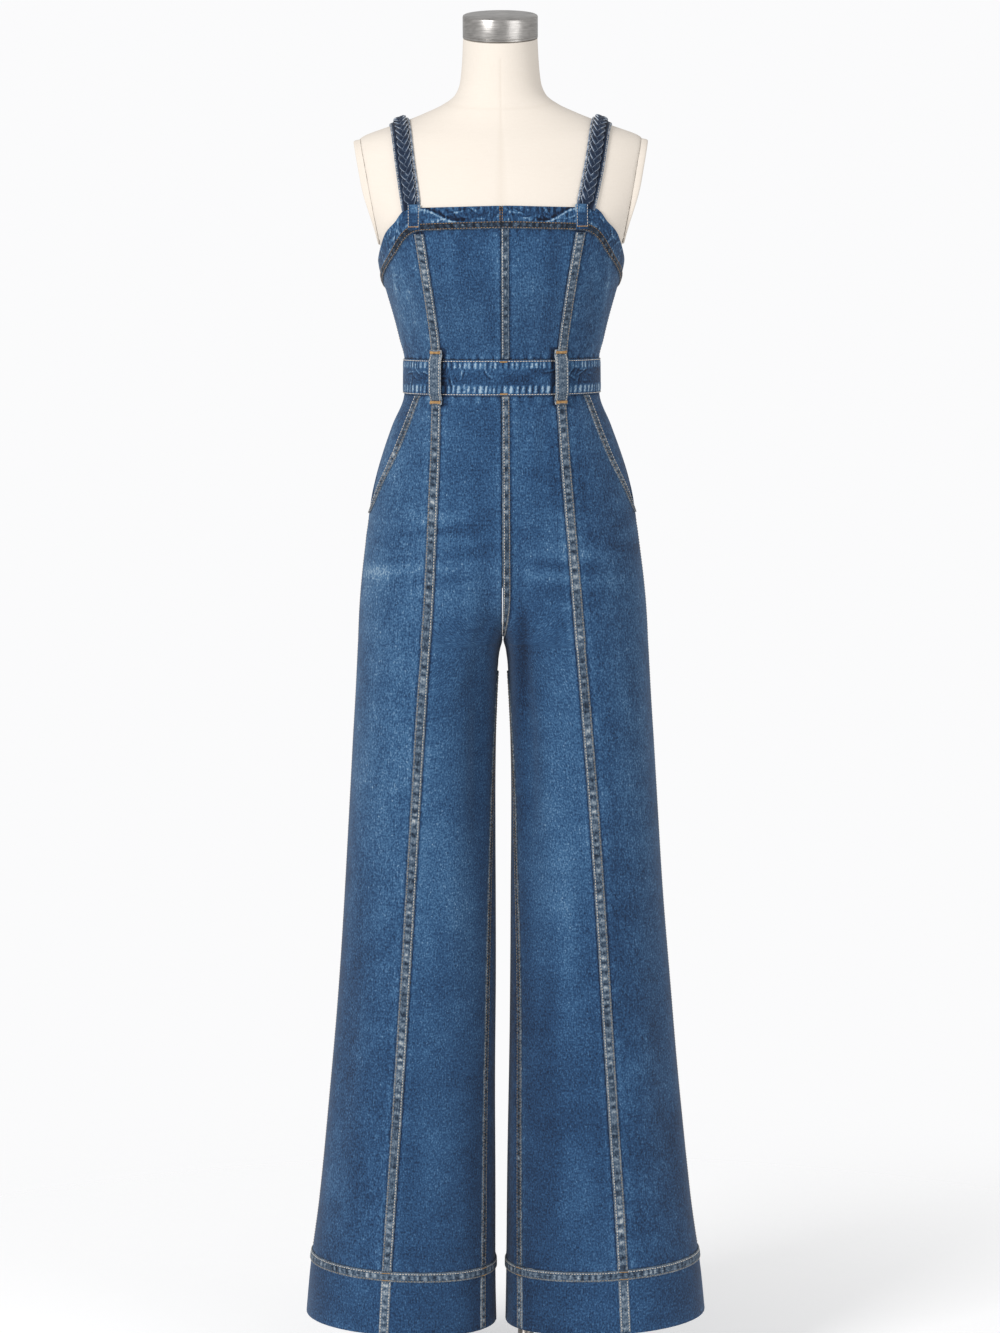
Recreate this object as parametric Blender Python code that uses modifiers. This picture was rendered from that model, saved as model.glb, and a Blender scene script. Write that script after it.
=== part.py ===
# A denim jumpsuit with braided shoulder straps and wide flared legs, shown on a limbless dress form.
# Metres, +Z up. The front faces -Y and the wearer's left is +X. The origin is on the floor, in the middle.

import math
from collections import namedtuple
from functools import lru_cache, partial

import bmesh
import bpy
from mathutils import Vector

# Driving sizes of the cloth
CLOTH = 0.0016  # thickness of one denim wall
GAP = 0.0003  # what is left open between two sewn pieces
STRIP = 0.0011  # how thick a felled seam's raised strip is
STRIP_SEAT = 0.0006  # room under a strip, because panels and strips have flat facets
STRIP_WIDTH = 0.0125  # how wide a felled seam is, both stitch rows included
INSEAM_STRIP = (0.0010, 0.0115)  # where the inseam's strip starts and ends, forwards of the inseam
HEM_STRIP = 0.0120
CENTRE_STRIP = 0.0100
STRIP_BEFORE = 0.0035  # how much of a strip lies on the near side of its seam line
STRIP_AFTER = STRIP_WIDTH - STRIP_BEFORE
WAISTBAND_THICK = 0.0028
WAISTBAND_PROUD = 0.0010
BAND_DEEP = 0.0250  # height of the band along the bodice's top edge
HEM_DEEP = 0.0790  # height of the hem band
HEM_TILT = 0.0060  # the hem hangs this much lower at the inseam than in front, and higher at the side
HEM_TILT_TOP = 0.3000
SWAY = 0.0060  # both inner legs hang this much towards the wearer's right at the hem
SWAY_TOP = 0.7500

# Heights above the floor
HEM = 0.0865
WAIST_LOW = 1.2360
WAIST_HIGH = 1.2790
RISE_TOP = 1.0600  # the centre seams begin to curve in under the body here
CROTCH = 0.9330
RISE_REACH = 0.055  # how far the sharp curve of the rise spreads, as a share of the way round
THIGH_TOP = 1.0900  # between these heights the body's outline becomes the leg's
THIGH_FOOT = 0.8000
TOP_EDGE_HIGH = 1.4630

# Pockets
FACING_TUCK = 0.030  # how far the hip piece runs on behind the front, as a share of the half round
FACING_CLEAR = 0.0011

# Belt loops
LOOP_WIDTH = 0.0160
LOOP_INWARD = 0.0024  # a front loop stands off the cloth, so it sits this much nearer the centre than its seam
LOOP_LOW = 1.2245
LOOP_HIGH = 1.2920
LOOP_THICK = 0.0018
LOOP_STANDS_OFF = 0.0067  # free room between a loop and the waistband, for a belt
LOOP_SEAT = 0.0012  # room under a front loop's flat ends, which lie over the felled seams
LOOP_SEAT_BACK = 0.0018  # room under a back loop's flat ends, which lie on the panels
LOOP_TACK = 0.0060  # length of each end that lies flat under its bar tack

# Straps
STRAP_WIDTH = 0.0250
STRAP_THICK = 0.0022
STRAP_CLEAR = 0.0012  # room between a strap and the dress form
STRAP_FOOT = 0.0012  # height of a strap's ends above the bodice's edge
STRAP_EYE = Vector((0.0, 0.006, 1.400))  # inside the chest: the strap is spaced by angle seen from here
BRAID_WIDTH = 0.0165
BRAID_SEAT = 0.0005
BRAID_LOW = 0.0012  # the braid's thickness at its edges and between lobes
BRAID_HIGH = 0.0042  # and at the top of a lobe
BRAID_PITCH = 0.0105  # from one lobe to the next on the same side

# Stand
POLE_X = 0.0250  # the pole stands inside the left leg, beside the inseam
POLE_RADIUS = 0.0100
BASE_RADIUS = 0.1650
BASE_THICK = 0.0100
COLLAR_RADIUS = 0.0190
COLLAR_HIGH = 0.0350
FLANGE_RADIUS = 0.0330
FLANGE_THICK = 0.0060
FORM_BOTTOM = 1.0050
NECK_TOP = 1.6650
NECK_TILT = math.radians(10.5)
CAP_RADIUS = 0.0455
CAP_HIGH = 0.0275
PLATE_THICK = 0.0066

# Zip at the centre back
ZIP_HINGE_Z = 1.3780
ZIP_HINGE_OUT = 0.0052
ZIP_PIN_RADIUS = 0.0008
ZIP_EYE_RADIUS = 0.0019  # outside of the tab's eye
ZIP_EYE_HALF = 0.0024  # half the width of the eye, between the slider's ears
SLIDER_HALF = 0.0040
SLIDER_SEAT = 0.0007
SLIDER_THICK = 0.0020
EAR_THICK = 0.0012
EAR_HALF = 0.0016
TAB_LONG = 0.0260
TAB_WIDE = 0.0080
TAB_THICK = 0.0012
TAB_NECK = 0.0040  # width of the narrow part between the tab and its eye

# Outer face of the garment's body: half width, depths before and behind the side seam, and squareness
Section = namedtuple("Section", "height half front back power")
TORSO = [
    Section(0.930, 0.1780, 0.1080, 0.1150, 2.10),
    Section(0.982, 0.1740, 0.1100, 0.1180, 2.10),
    Section(1.044, 0.1680, 0.1115, 0.1200, 2.15),
    Section(1.105, 0.1610, 0.1095, 0.1170, 2.20),
    Section(1.136, 0.1542, 0.1070, 0.1125, 2.20),
    Section(1.166, 0.1452, 0.1035, 0.1060, 2.20),
    Section(1.197, 0.1342, 0.0990, 0.0975, 2.20),
    Section(1.236, 0.1195, 0.0930, 0.0865, 2.20),
    Section(1.279, 0.1190, 0.0925, 0.0850, 2.20),
    Section(1.300, 0.1238, 0.0975, 0.0870, 2.20),
    Section(1.325, 0.1300, 0.1070, 0.0900, 2.25),
    Section(1.361, 0.1402, 0.1210, 0.0945, 2.35),
    Section(1.385, 0.1476, 0.1262, 0.0972, 2.40),
    Section(1.405, 0.1515, 0.1262, 0.0992, 2.40),
    Section(1.430, 0.1640, 0.1205, 0.1012, 2.35),
    Section(1.450, 0.1745, 0.1145, 0.1020, 2.30),
    Section(1.475, 0.1840, 0.1065, 0.1020, 2.25),
]

# Outer face of one trouser leg: nearest and furthest from the centre plane, and its depths
Leg = namedtuple("Leg", "height inner outer front back")
LEG = [
    Leg(0.078, 0.0052, 0.2500, 0.1065, 0.1045),
    Leg(0.135, 0.0062, 0.2445, 0.1050, 0.1035),
    Leg(0.231, 0.0070, 0.2315, 0.1035, 0.1025),
    Leg(0.358, 0.0080, 0.2185, 0.1020, 0.1015),
    Leg(0.484, 0.0086, 0.2070, 0.1010, 0.1015),
    Leg(0.609, 0.0093, 0.1975, 0.1005, 0.1030),
    Leg(0.734, 0.0093, 0.1895, 0.1010, 0.1055),
    Leg(0.859, 0.0076, 0.1827, 0.1030, 0.1095),
    Leg(0.889, 0.0066, 0.1812, 0.1040, 0.1110),
    Leg(0.916, 0.0042, 0.1795, 0.1060, 0.1130),
    Leg(0.933, 0.0002, 0.1780, 0.1080, 0.1150),
]
LEG_POWER = 2.10
WARP = 0.079  # lines up the body's outline with the leg's, so that seams run on smoothly

# Soft hanging folds in the legs: where round the leg, how wide, between which heights and how deep
Fold = namedtuple("Fold", "turn width low high depth")
FOLDS = [
    Fold(0.115, 0.030, 0.600, 1.000, -0.0060),
    Fold(0.185, 0.035, 0.420, 0.900, 0.0030),
    Fold(0.400, 0.045, 0.120, 0.700, -0.0035),
    Fold(0.640, 0.040, 0.250, 0.960, -0.0050),
    Fold(0.740, 0.040, 0.080, 0.800, 0.0045),
    Fold(0.870, 0.035, 0.450, 0.990, -0.0060),
]

COLUMNS_PER_PANEL = 4
SIDE_FRONT_COLUMNS = (0.0, 0.13, 0.41, 0.70, 1.0)  # the second stands at the corner outside the strap

# Distance of the front leg seam from the centre plane
Seam = namedtuple("Seam", "height out")
FRONT_SEAM = [
    Seam(0.078, 0.1455),
    Seam(0.167, 0.1405),
    Seam(0.255, 0.1347),
    Seam(0.379, 0.1264),
    Seam(0.503, 0.1187),
    Seam(0.626, 0.1112),
    Seam(0.748, 0.1037),
    Seam(0.870, 0.0958),
    Seam(0.991, 0.0866),
    Seam(1.052, 0.0833),
    Seam(1.112, 0.0804),
    Seam(1.172, 0.0776),
    Seam(1.240, 0.0762),
]
BODICE_SEAM = [
    Seam(1.270, 0.0755),
    Seam(1.300, 0.0775),
    Seam(1.351, 0.0836),
    Seam(1.398, 0.0908),
    Seam(1.434, 0.0962),
    Seam(1.475, 0.1010),
]
# The garment is worn a little askew: on the wearer's left, the front seams lie this much further in
LEFT_LEAN = [
    Seam(0.078, -0.0015),
    Seam(0.255, -0.0033),
    Seam(0.503, -0.0032),
    Seam(0.748, -0.0020),
    Seam(0.870, -0.0007),
    Seam(0.990, 0.0000),
    Seam(1.050, 0.0015),
    Seam(1.100, 0.0032),
    Seam(1.190, 0.0060),
    Seam(1.236, 0.0078),
    Seam(1.300, 0.0060),
    Seam(1.351, 0.0051),
    Seam(1.398, 0.0047),
    Seam(1.434, 0.0033),
    Seam(1.475, 0.0020),
]
STRAP_LEAN = 0.0060  # and so does that strap's foot
STRAP_LEAN_ENDS = 0.38  # share of the strap's way where it lies as on the other side
POCKET_EDGE = [
    Seam(1.0900, 0.1630),
    Seam(1.1070, 0.1575),
    Seam(1.1270, 0.1500),
    Seam(1.1630, 0.1340),
    Seam(1.2400, 0.1035),
]
POCKET_FOOT = 1.0900

# How far the inseam has turned forwards, as a share of the way round the leg
Twist = namedtuple("Twist", "height turn")
INSEAM = [
    Twist(0.078, 0.080),
    Twist(0.484, 0.070),
    Twist(0.734, 0.045),
    Twist(0.859, 0.020),
    Twist(0.920, 0.000),
]
SIDE_SEAM = 0.5
BACK_SEAM = 0.72

# Height of the bodice's top edge, from the centre front round to the centre back
Edge = namedtuple("Edge", "turn height")
TOP_EDGE = [
    Edge(0.000, 1.4630),
    Edge(0.285, 1.4622),
    Edge(0.300, 1.4585),
    Edge(0.322, 1.4460),
    Edge(0.361, 1.4340),
    Edge(0.395, 1.4220),
    Edge(0.437, 1.4100),
    Edge(0.470, 1.4020),
    Edge(0.500, 1.3960),
    Edge(0.600, 1.3870),
    Edge(0.750, 1.3850),
    Edge(1.000, 1.3860),
]

# The dress form's own sections
FORM = [
    Section(1.005, 0.1540, 0.0960, 0.1030, 2.20),
    Section(1.050, 0.1570, 0.1000, 0.1080, 2.20),
    Section(1.090, 0.1545, 0.1010, 0.1080, 2.20),
    Section(1.127, 0.1480, 0.1000, 0.1055, 2.20),
    Section(1.166, 0.1365, 0.0965, 0.0980, 2.20),
    Section(1.205, 0.1210, 0.0900, 0.0865, 2.20),
    Section(1.236, 0.1140, 0.0875, 0.0808, 2.20),
    Section(1.279, 0.1138, 0.0873, 0.0798, 2.20),
    Section(1.300, 0.1190, 0.0930, 0.0830, 2.20),
    Section(1.325, 0.1260, 0.1035, 0.0870, 2.25),
    Section(1.361, 0.1355, 0.1172, 0.0912, 2.35),
    Section(1.385, 0.1425, 0.1225, 0.0940, 2.40),
    Section(1.405, 0.1450, 0.1225, 0.0960, 2.40),
    Section(1.430, 0.1600, 0.1170, 0.0980, 2.35),
    Section(1.465, 0.1770, 0.1060, 0.0990, 2.28),
    Section(1.500, 0.1860, 0.0920, 0.0970, 2.10),
    Section(1.525, 0.1860, 0.0790, 0.0920, 1.98),
    Section(1.540, 0.1780, 0.0705, 0.0870, 1.90),
    Section(1.548, 0.1660, 0.0655, 0.0835, 1.84),
    Section(1.557, 0.1420, 0.0600, 0.0785, 1.78),
    Section(1.566, 0.1150, 0.0555, 0.0735, 1.76),
    Section(1.576, 0.0900, 0.0515, 0.0690, 1.80),
    Section(1.586, 0.0690, 0.0485, 0.0650, 1.90),
    Section(1.597, 0.0550, 0.0465, 0.0615, 1.97),
    Section(1.612, 0.0490, 0.0460, 0.0575, 2.00),
    Section(1.640, 0.0462, 0.0480, 0.0520, 2.00),
    Section(1.665, 0.0450, 0.0505, 0.0475, 2.00),
]
FORM_RINGS = [
    1.005, 1.012, 1.035, 1.070, 1.110, 1.150, 1.190, 1.236, 1.279, 1.303, 1.330, 1.358, 1.385, 1.405,
    1.430, 1.460, 1.490, 1.515, 1.532, 1.543, 1.551, 1.560, 1.570, 1.581, 1.592, 1.606, 1.630, 1.665,
]
FORM_SIDES = 32

# The flat plates that close the dress form's armholes: a plane that leans in towards the waist
PLATE_TOP = Vector((0.1690, 0.0, 1.5380))
PLATE_LEAN = 0.188  # metres inward for each metre down
PLATE_FOOT = 1.4170
PLATE_HEAD = 1.5440

# Materials: colour, roughness and metallic
Finish = namedtuple("Finish", "colour roughness metallic")
FINISHES = {
    "denim": Finish((0.075, 0.170, 0.330), 0.85, 0.0),
    "denim_seam": Finish((0.130, 0.190, 0.290), 0.85, 0.0),
    "denim_braid": Finish((0.035, 0.070, 0.150), 0.85, 0.0),
    "linen": Finish((0.870, 0.800, 0.710), 0.80, 0.0),
    "steel": Finish((0.620, 0.610, 0.600), 0.30, 1.0),
    "zip_metal": Finish((0.420, 0.300, 0.140), 0.35, 1.0),
}
SIDES = {"left": 1.0, "right": -1.0}


# Reading a table with smooth curves through its rows
@lru_cache(maxsize=None)
def slopes(rows):
    """Slope of each column at each row, flat where a column turns."""
    steps = [[(b[c] - a[c]) / (b[0] - a[0]) for c in range(1, len(a))] for a, b in zip(rows, rows[1:])]
    found = [steps[0]]
    for before, after in zip(steps, steps[1:]):
        found.append([0.0 if p * q <= 0 else 2 * p * q / (p + q) for p, q in zip(before, after)])
    return found + [steps[-1]]


def read(table, where):
    """The values of a table's columns after the first, where the first column has this value."""
    rows = tuple(table)
    where = min(max(where, rows[0][0]), rows[-1][0])
    index = next(i for i in range(len(rows) - 1) if where <= rows[i + 1][0])
    low, high = rows[index], rows[index + 1]
    span = high[0] - low[0]
    t = (where - low[0]) / span
    first, second = slopes(rows)[index:index + 2]
    stay, reach = (1 + 2 * t) * (1 - t) ** 2, t * t * (3 - 2 * t)
    leave, arrive = t * (1 - t) ** 2 * span, t * t * (t - 1) * span
    return [
        stay * low[c] + reach * high[c] + leave * first[c - 1] + arrive * second[c - 1]
        for c in range(1, len(low))
    ]


def signed_power(value, power):
    return math.copysign(abs(value) ** power, value)


# The cloth's outer face, as one surface that forks into two legs
def torso_point(turn, height):
    """On the body: turn 0 is the centre front, 0.5 the side seam and 1 the centre back."""
    half, front, back, power = read(TORSO, height)
    angle = math.pi * (turn - WARP * math.sin(2 * math.pi * turn) - 0.5)
    depth = front if math.sin(angle) < 0 else back
    return Vector((
        half * signed_power(math.cos(angle), 2 / power),
        depth * signed_power(math.sin(angle), 2 / power),
        height,
    ))


def leg_point(turn, height):
    """On a leg: turn 0 is its inner side, 0.25 its front, 0.5 its outer side and 0.75 its back."""
    inner, outer, front, back = read(LEG, height)
    angle = 2 * math.pi * turn - math.pi
    depth = front if math.sin(angle) < 0 else back
    return Vector((
        (inner + outer) / 2 + (outer - inner) / 2 * signed_power(math.cos(angle), 2 / LEG_POWER),
        depth * signed_power(math.sin(angle), 2 / LEG_POWER),
        height,
    ))


def parted(turn, height):
    """How far the body has become a leg: a sharp curve down the rise seams, and a slow change elsewhere."""
    fall = min(max((RISE_TOP - height) / (RISE_TOP - CROTCH), 0.0), 1.0)
    rise = 1.0 - math.sqrt(1.0 - fall * fall)
    slow = min(max((THIGH_TOP - height) / (THIGH_TOP - THIGH_FOOT), 0.0), 1.0)
    slow = slow * slow * (3 - 2 * slow)
    away = min(turn, 1.0 - turn) / RISE_REACH
    near = math.exp(-away * away)
    return near * rise + (1.0 - near) * slow


def plain_point(turn, height):
    turn_in = min(max(turn, 0.0), 1.0)
    share = parted(turn_in, height)
    if share >= 1.0 or height < CROTCH and turn_in != turn:
        return leg_point(turn, height)
    return torso_point(turn_in, height).lerp(leg_point(turn, height), share)


def fold_depth(turn, height):
    """How far the soft folds move the cloth out here."""
    depth = 0.0
    for fold in FOLDS:
        if fold.low < height < fold.high:
            fade = math.sin(math.pi * (height - fold.low) / (fold.high - fold.low)) ** 2
            away = (turn - fold.turn) / fold.width
            depth += fold.depth * fade * math.exp(-away * away)
    return depth


def outward(point, turn, height):
    """Unit normal of the surface that point(turn, height) gives."""
    across = point(turn + 0.002, height) - point(turn - 0.002, height)
    down = point(turn, height - 0.0015) - point(turn, height + 0.0015)
    return down.cross(across).normalized()


def cloth_point(turn, height):
    spot = plain_point(turn, height) + fold_depth(turn, height) * outward(plain_point, turn, height)
    low = min(max((HEM_TILT_TOP - height) / (HEM_TILT_TOP - HEM - HEM_DEEP), 0.0), 1.0)
    spot.z -= HEM_TILT * low * math.cos(2 * math.pi * turn)
    return spot


def on_cloth(side, turn, height, out):
    """A point that lies out beyond the garment's outer face, on the left (+1) or right (-1) half."""
    spot = cloth_point(turn, height) + out * outward(cloth_point, turn, height)
    low = min(max((SWAY_TOP - height) / (SWAY_TOP - HEM), 0.0), 1.0)
    sway = SWAY * low * low * (3 - 2 * low) * math.cos(math.pi * turn) ** 2
    return Vector((side * spot.x - sway, spot.y, spot.z))


@lru_cache(maxsize=None)
def turn_at(out, height):
    """Where on the front, as a turn, the cloth is this far from the centre plane."""
    low, high = 0.0, SIDE_SEAM
    for _ in range(30):
        middle = (low + high) / 2
        if plain_point(middle, height).x < out:
            low = middle
        else:
            high = middle
    return (low + high) / 2


def leaning(side, height):
    return read(LEFT_LEAN, height)[0] if side > 0 else 0.0


def front_seam(height, side):
    return turn_at(read(FRONT_SEAM, height)[0] - leaning(side, height), height)


def bodice_seam(height, side):
    return turn_at(read(BODICE_SEAM, height)[0] - leaning(side, height), height)


def pocket_edge(height):
    return SIDE_SEAM if height <= POCKET_FOOT else turn_at(read(POCKET_EDGE, height)[0], height)


def inseam(height):
    return read(INSEAM, height)[0]


def top_edge(turn):
    return read(TOP_EDGE, turn)[0]


@lru_cache(maxsize=None)
def turn_for(length, turn, height):
    """The share of the way round that this length of cloth takes up, at this place."""
    ahead, behind = turn + 0.01, turn - 0.01
    if height > CROTCH:
        ahead, behind = min(ahead, 1.0), max(behind, 0.0)
        travelled = (plain_point(ahead, height) - plain_point(behind, height)).length
    else:
        travelled = (leg_point(ahead, height) - leg_point(behind, height)).length
    return length * (ahead - behind) / travelled


# Building one object
def make_material(name):
    finish = FINISHES[name]
    material = bpy.data.materials.new(name)
    material.use_nodes = True
    shader = material.node_tree.nodes["Principled BSDF"]
    shader.inputs["Base Color"].default_value = (*finish.colour, 1.0)
    shader.inputs["Roughness"].default_value = finish.roughness
    shader.inputs["Metallic"].default_value = finish.metallic
    material.diffuse_color = (*finish.colour, 1.0)
    return material


def finish_object(name, bm, material, smooth=True):
    """Closes a mesh's normals, links it as an object and gives it its material."""
    bmesh.ops.recalc_face_normals(bm, faces=bm.faces[:])
    if bm.calc_volume(signed=True) < 0:
        bmesh.ops.reverse_faces(bm, faces=bm.faces[:])
    mesh = bpy.data.meshes.new(name)
    bm.to_mesh(mesh)
    bm.free()
    if smooth:
        mesh.shade_smooth()
        mesh.set_sharp_from_angle(angle=math.radians(40))
    obj = bpy.data.objects.new(name, mesh)
    obj.data.materials.append(bpy.data.materials[material])
    parts.objects.link(obj)
    return obj


def wall(name, material, columns, rows, spot, inner, outer):
    """A closed wall over a grid: spot(u, v, out) gives each point, with u and v from 0 to 1."""
    bm = bmesh.new()
    bmesh.ops.create_grid(bm, x_segments=columns, y_segments=rows, size=0.5)
    grown = bmesh.ops.extrude_face_region(bm, geom=bm.faces[:], use_keep_orig=True)
    face = {item for item in grown["geom"] if isinstance(item, bmesh.types.BMVert)}
    for vert in bm.verts:
        vert.co = spot(vert.co.x + 0.5, vert.co.y + 0.5, outer if vert in face else inner)
    bmesh.ops.triangulate(bm, faces=bm.faces[:], quad_method="SHORT_EDGE")
    return finish_object(name, bm, material)


def sewn(name, side, columns, heights, start, end, inner=-CLOTH, outer=0.0, material="denim"):
    """A piece of the garment between two seams, each a turn for every height, with a row at each height."""

    def spot(u, v, out):
        height = heights[round(v * (len(heights) - 1))]
        first, last = start(height), end(height)
        first += turn_for(GAP / 2, first, height)
        last -= turn_for(GAP / 2, last, height)
        return on_cloth(side, first + u * (last - first), height, out)

    return wall(name, material, columns, len(heights) - 1, spot, inner, outer)


def strip_along(name, side, heights, seam, before, after, seat=STRIP_SEAT):
    """The raised strip of a felled seam, from before the seam line to after it, in metres."""
    sewn(
        name, side, 1, heights,
        lambda height: seam(height) - turn_for(before, seam(height), height),
        lambda height: seam(height) + turn_for(after, seam(height), height),
        inner=seat, outer=seat + STRIP, material="denim_seam",
    )


# Trousers
def rise_heights():
    """Rows that follow the curve of the rise, closer together towards the crotch."""
    falls = (0.0, 0.35, 0.56, 0.72, 0.84, 0.92, 0.97, 0.993)
    return [RISE_TOP - fall * (RISE_TOP - CROTCH) for fall in falls]


HIP_ROWS = [WAIST_LOW - GAP, 1.207, 1.166, 1.131, 1.115, 1.102, POCKET_FOOT]
FACING_ROWS = HIP_ROWS[:-1] + [POCKET_FOOT + 0.0040]
LEG_ROWS = [CROTCH, 0.918, 0.895, 0.860, 0.800, 0.710, 0.590, 0.460, 0.335, 0.235, HEM + HEM_DEEP + GAP]
TROUSER_ROWS = HIP_ROWS + rise_heights() + LEG_ROWS


def back_end(height):
    return 1.0 + inseam(height)


def make_pocket_facing(label, side):
    """The hip piece seen through the slanted pocket: level at the side seam and tucked in at the slant."""

    def spot(u, v, out):
        height = FACING_ROWS[round(v * (len(FACING_ROWS) - 1))]
        inset = turn_for(GAP / 2, SIDE_SEAM, height)
        edge = min(pocket_edge(height), SIDE_SEAM - 8 * inset)
        tucked = min(1.0, max(0.0, 1.0 - (SIDE_SEAM - edge - 0.040) / 0.060))
        turn = (edge - FACING_TUCK, edge, (edge + SIDE_SEAM) / 2, SIDE_SEAM - inset)[round(3 * u)]
        behind = (1.0, 1.0, max(0.6, tucked), tucked)[round(3 * u)]
        return on_cloth(side, turn, height, out - behind * (CLOTH + FACING_CLEAR))

    wall(f"pocket_facing_{label}", "denim", 3, len(FACING_ROWS) - 1, spot, -CLOTH, 0.0)


def make_trousers():
    for label, side in SIDES.items():
        seam = partial(front_seam, side=side)
        sewn(f"trouser_front_{label}", side, 5, TROUSER_ROWS, inseam, seam)
        sewn(f"trouser_side_{label}", side, 5, TROUSER_ROWS, seam, pocket_edge)
        sewn(f"trouser_back_{label}", side, 11, TROUSER_ROWS, lambda height: SIDE_SEAM, back_end)
        make_pocket_facing(label, side)
        strip_along(f"front_leg_seam_{label}", side, TROUSER_ROWS, seam, STRIP_BEFORE, STRIP_AFTER)
        strip_along(f"pocket_hem_{label}", side, HIP_ROWS, pocket_edge, STRIP_WIDTH, -0.0010)
        low_rows = [height for height in LEG_ROWS if height < 0.90]
        strip_along(f"inseam_strip_{label}", side, low_rows, inseam, -INSEAM_STRIP[0], INSEAM_STRIP[1])
    fly_rows = HIP_ROWS + rise_heights()[:4]
    strip_along("fly_strip", 1.0, fly_rows, lambda height: 0.0, 0.0, CENTRE_STRIP, seat=2 * STRIP_SEAT)


def make_hem_bands():
    rows = [HEM + HEM_DEEP, HEM + HEM_DEEP - HEM_STRIP, HEM + 0.5 * HEM_DEEP, HEM]
    below = [rows[1] - GAP, rows[2], rows[3]]
    for label, side in SIDES.items():
        sewn(f"hem_band_{label}", side, 22, rows, inseam, back_end)
        sewn(
            f"hem_strip_{label}", side, 22, rows[:2], inseam, back_end,
            inner=STRIP_SEAT, outer=STRIP_SEAT + STRIP, material="denim_seam",
        )
        seam = partial(front_seam, side=side)
        strip_along(f"hem_seam_{label}", side, below, seam, STRIP_BEFORE, STRIP_AFTER)
        strip_along(f"hem_inseam_{label}", side, below, inseam, -INSEAM_STRIP[0], INSEAM_STRIP[1])


# Bodice, from the waistband up to the band along its top edge
def bodice_turn(side, station, height):
    """A turn counted in panels: 0 the centre front, 1 the front seam, 2 the side, 3 the back seam, 4 the zip."""
    seams = (0.0, bodice_seam(height, side), SIDE_SEAM, BACK_SEAM, 1.0)
    index = min(int(station), 3)
    part = station - index
    if index == 1:
        column = round(part * COLUMNS_PER_PANEL)
        part = SIDE_FRONT_COLUMNS[column]
    return seams[index] + part * (seams[index + 1] - seams[index])


def bodice_piece(name, side, start, end, rows, low, high, inner=-CLOTH, outer=0.0, material="denim"):
    """A piece between two stations whose lower and upper edges are heights that depend on the turn."""

    def spot(u, v, out):
        station = start + u * (end - start)
        height = 1.35
        for _ in range(4):
            turn = bodice_turn(side, station, height)
            height = low(turn) + v * (high(turn) - low(turn))
        inset = turn_for(GAP / 2, SIDE_SEAM, height)
        first, last = bodice_turn(side, start, height) + inset, bodice_turn(side, end, height) - inset
        return on_cloth(side, min(max(turn, first), last), height, out)

    wall(name, material, COLUMNS_PER_PANEL * (end - start), rows, spot, inner, outer)


def make_bodice():
    def floor(turn):
        return WAIST_HIGH + GAP

    def under_band(turn):
        return top_edge(turn) - BAND_DEEP - GAP

    def band_foot(turn):
        return top_edge(turn) - BAND_DEEP

    def seam_rows(seam):
        """Rows up a bodice seam, from the waistband to just under the strip along the band."""
        low, high = WAIST_HIGH + GAP, 1.43
        for _ in range(6):
            high = band_foot(seam(high) + turn_for(STRIP_WIDTH, seam(high), high)) - 0.0036
        return [low + (high - low) * i / 7 for i in range(8)]

    for label, side in SIDES.items():
        for station, place in enumerate(("front", "side_front", "side_back", "back")):
            bodice_piece(f"bodice_{place}_{label}", side, station, station + 1, 7, floor, under_band)
        bodice_piece(f"top_band_front_{label}", side, 0, 2, 2, band_foot, top_edge)
        bodice_piece(f"top_band_back_{label}", side, 2, 4, 2, band_foot, top_edge)
        bodice_piece(
            f"band_strip_{label}", side, 0, 4, 1,
            lambda turn: band_foot(turn) - 0.0020, lambda turn: band_foot(turn) + 0.0050,
            inner=STRIP_SEAT, outer=STRIP_SEAT + STRIP, material="denim_seam",
        )
        seam = partial(bodice_seam, side=side)
        strip_along(f"bodice_seam_{label}", side, seam_rows(seam), seam, STRIP_BEFORE, STRIP_AFTER)
    rows = seam_rows(lambda height: 0.0)
    strip_along("bodice_centre_seam", 1.0, rows, lambda height: 0.0, 0.0, CENTRE_STRIP)


def make_waistband():
    def spot(u, v, out):
        around = 2.0 * u - 1.0
        side = -1.0 if around < 0 else 1.0
        turn = min(abs(around), 1.0 - turn_for(GAP / 2, 1.0, WAIST_LOW))
        height = WAIST_LOW + v * (WAIST_HIGH - WAIST_LOW)
        return on_cloth(side, turn, height, out)

    wall("waistband", "denim", 36, 1, spot, WAISTBAND_PROUD - WAISTBAND_THICK, WAISTBAND_PROUD)


def make_belt_loops():
    """Four loops, each lying flat at its two tacked ends and standing off the waistband between them."""
    raised = WAISTBAND_PROUD + LOOP_STANDS_OFF
    tall = LOOP_HIGH - LOOP_LOW
    over_strip = STRIP_SEAT + STRIP + LOOP_SEAT
    for place, flat in (("front", over_strip), ("back", LOOP_SEAT_BACK)):
        path = [
            (LOOP_LOW, flat),
            (LOOP_LOW + LOOP_TACK, flat),
            (LOOP_LOW + 0.20 * tall, raised),
            (LOOP_LOW + 0.50 * tall, raised),
            (LOOP_LOW + 0.80 * tall, raised),
            (LOOP_HIGH - LOOP_TACK, flat),
            (LOOP_HIGH, flat),
        ]
        for label, side in SIDES.items():
            seam = front_seam(WAIST_LOW, side) if place == "front" else BACK_SEAM
            inward = LOOP_INWARD if place == "front" else 0.0
            middle = seam + turn_for(STRIP_WIDTH / 2 - STRIP_BEFORE - inward, seam, WAIST_HIGH)
            half = turn_for(LOOP_WIDTH / 2, seam, WAIST_HIGH)

            def spot(u, v, out, side=side, path=path, middle=middle, half=half):
                height, stand = path[round(v * (len(path) - 1))]
                return on_cloth(side, middle + (2 * u - 1) * half, height, stand + out)

            wall(f"belt_loop_{place}_{label}", "denim_seam", 1, len(path) - 1, spot, 0.0, LOOP_THICK)


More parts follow.
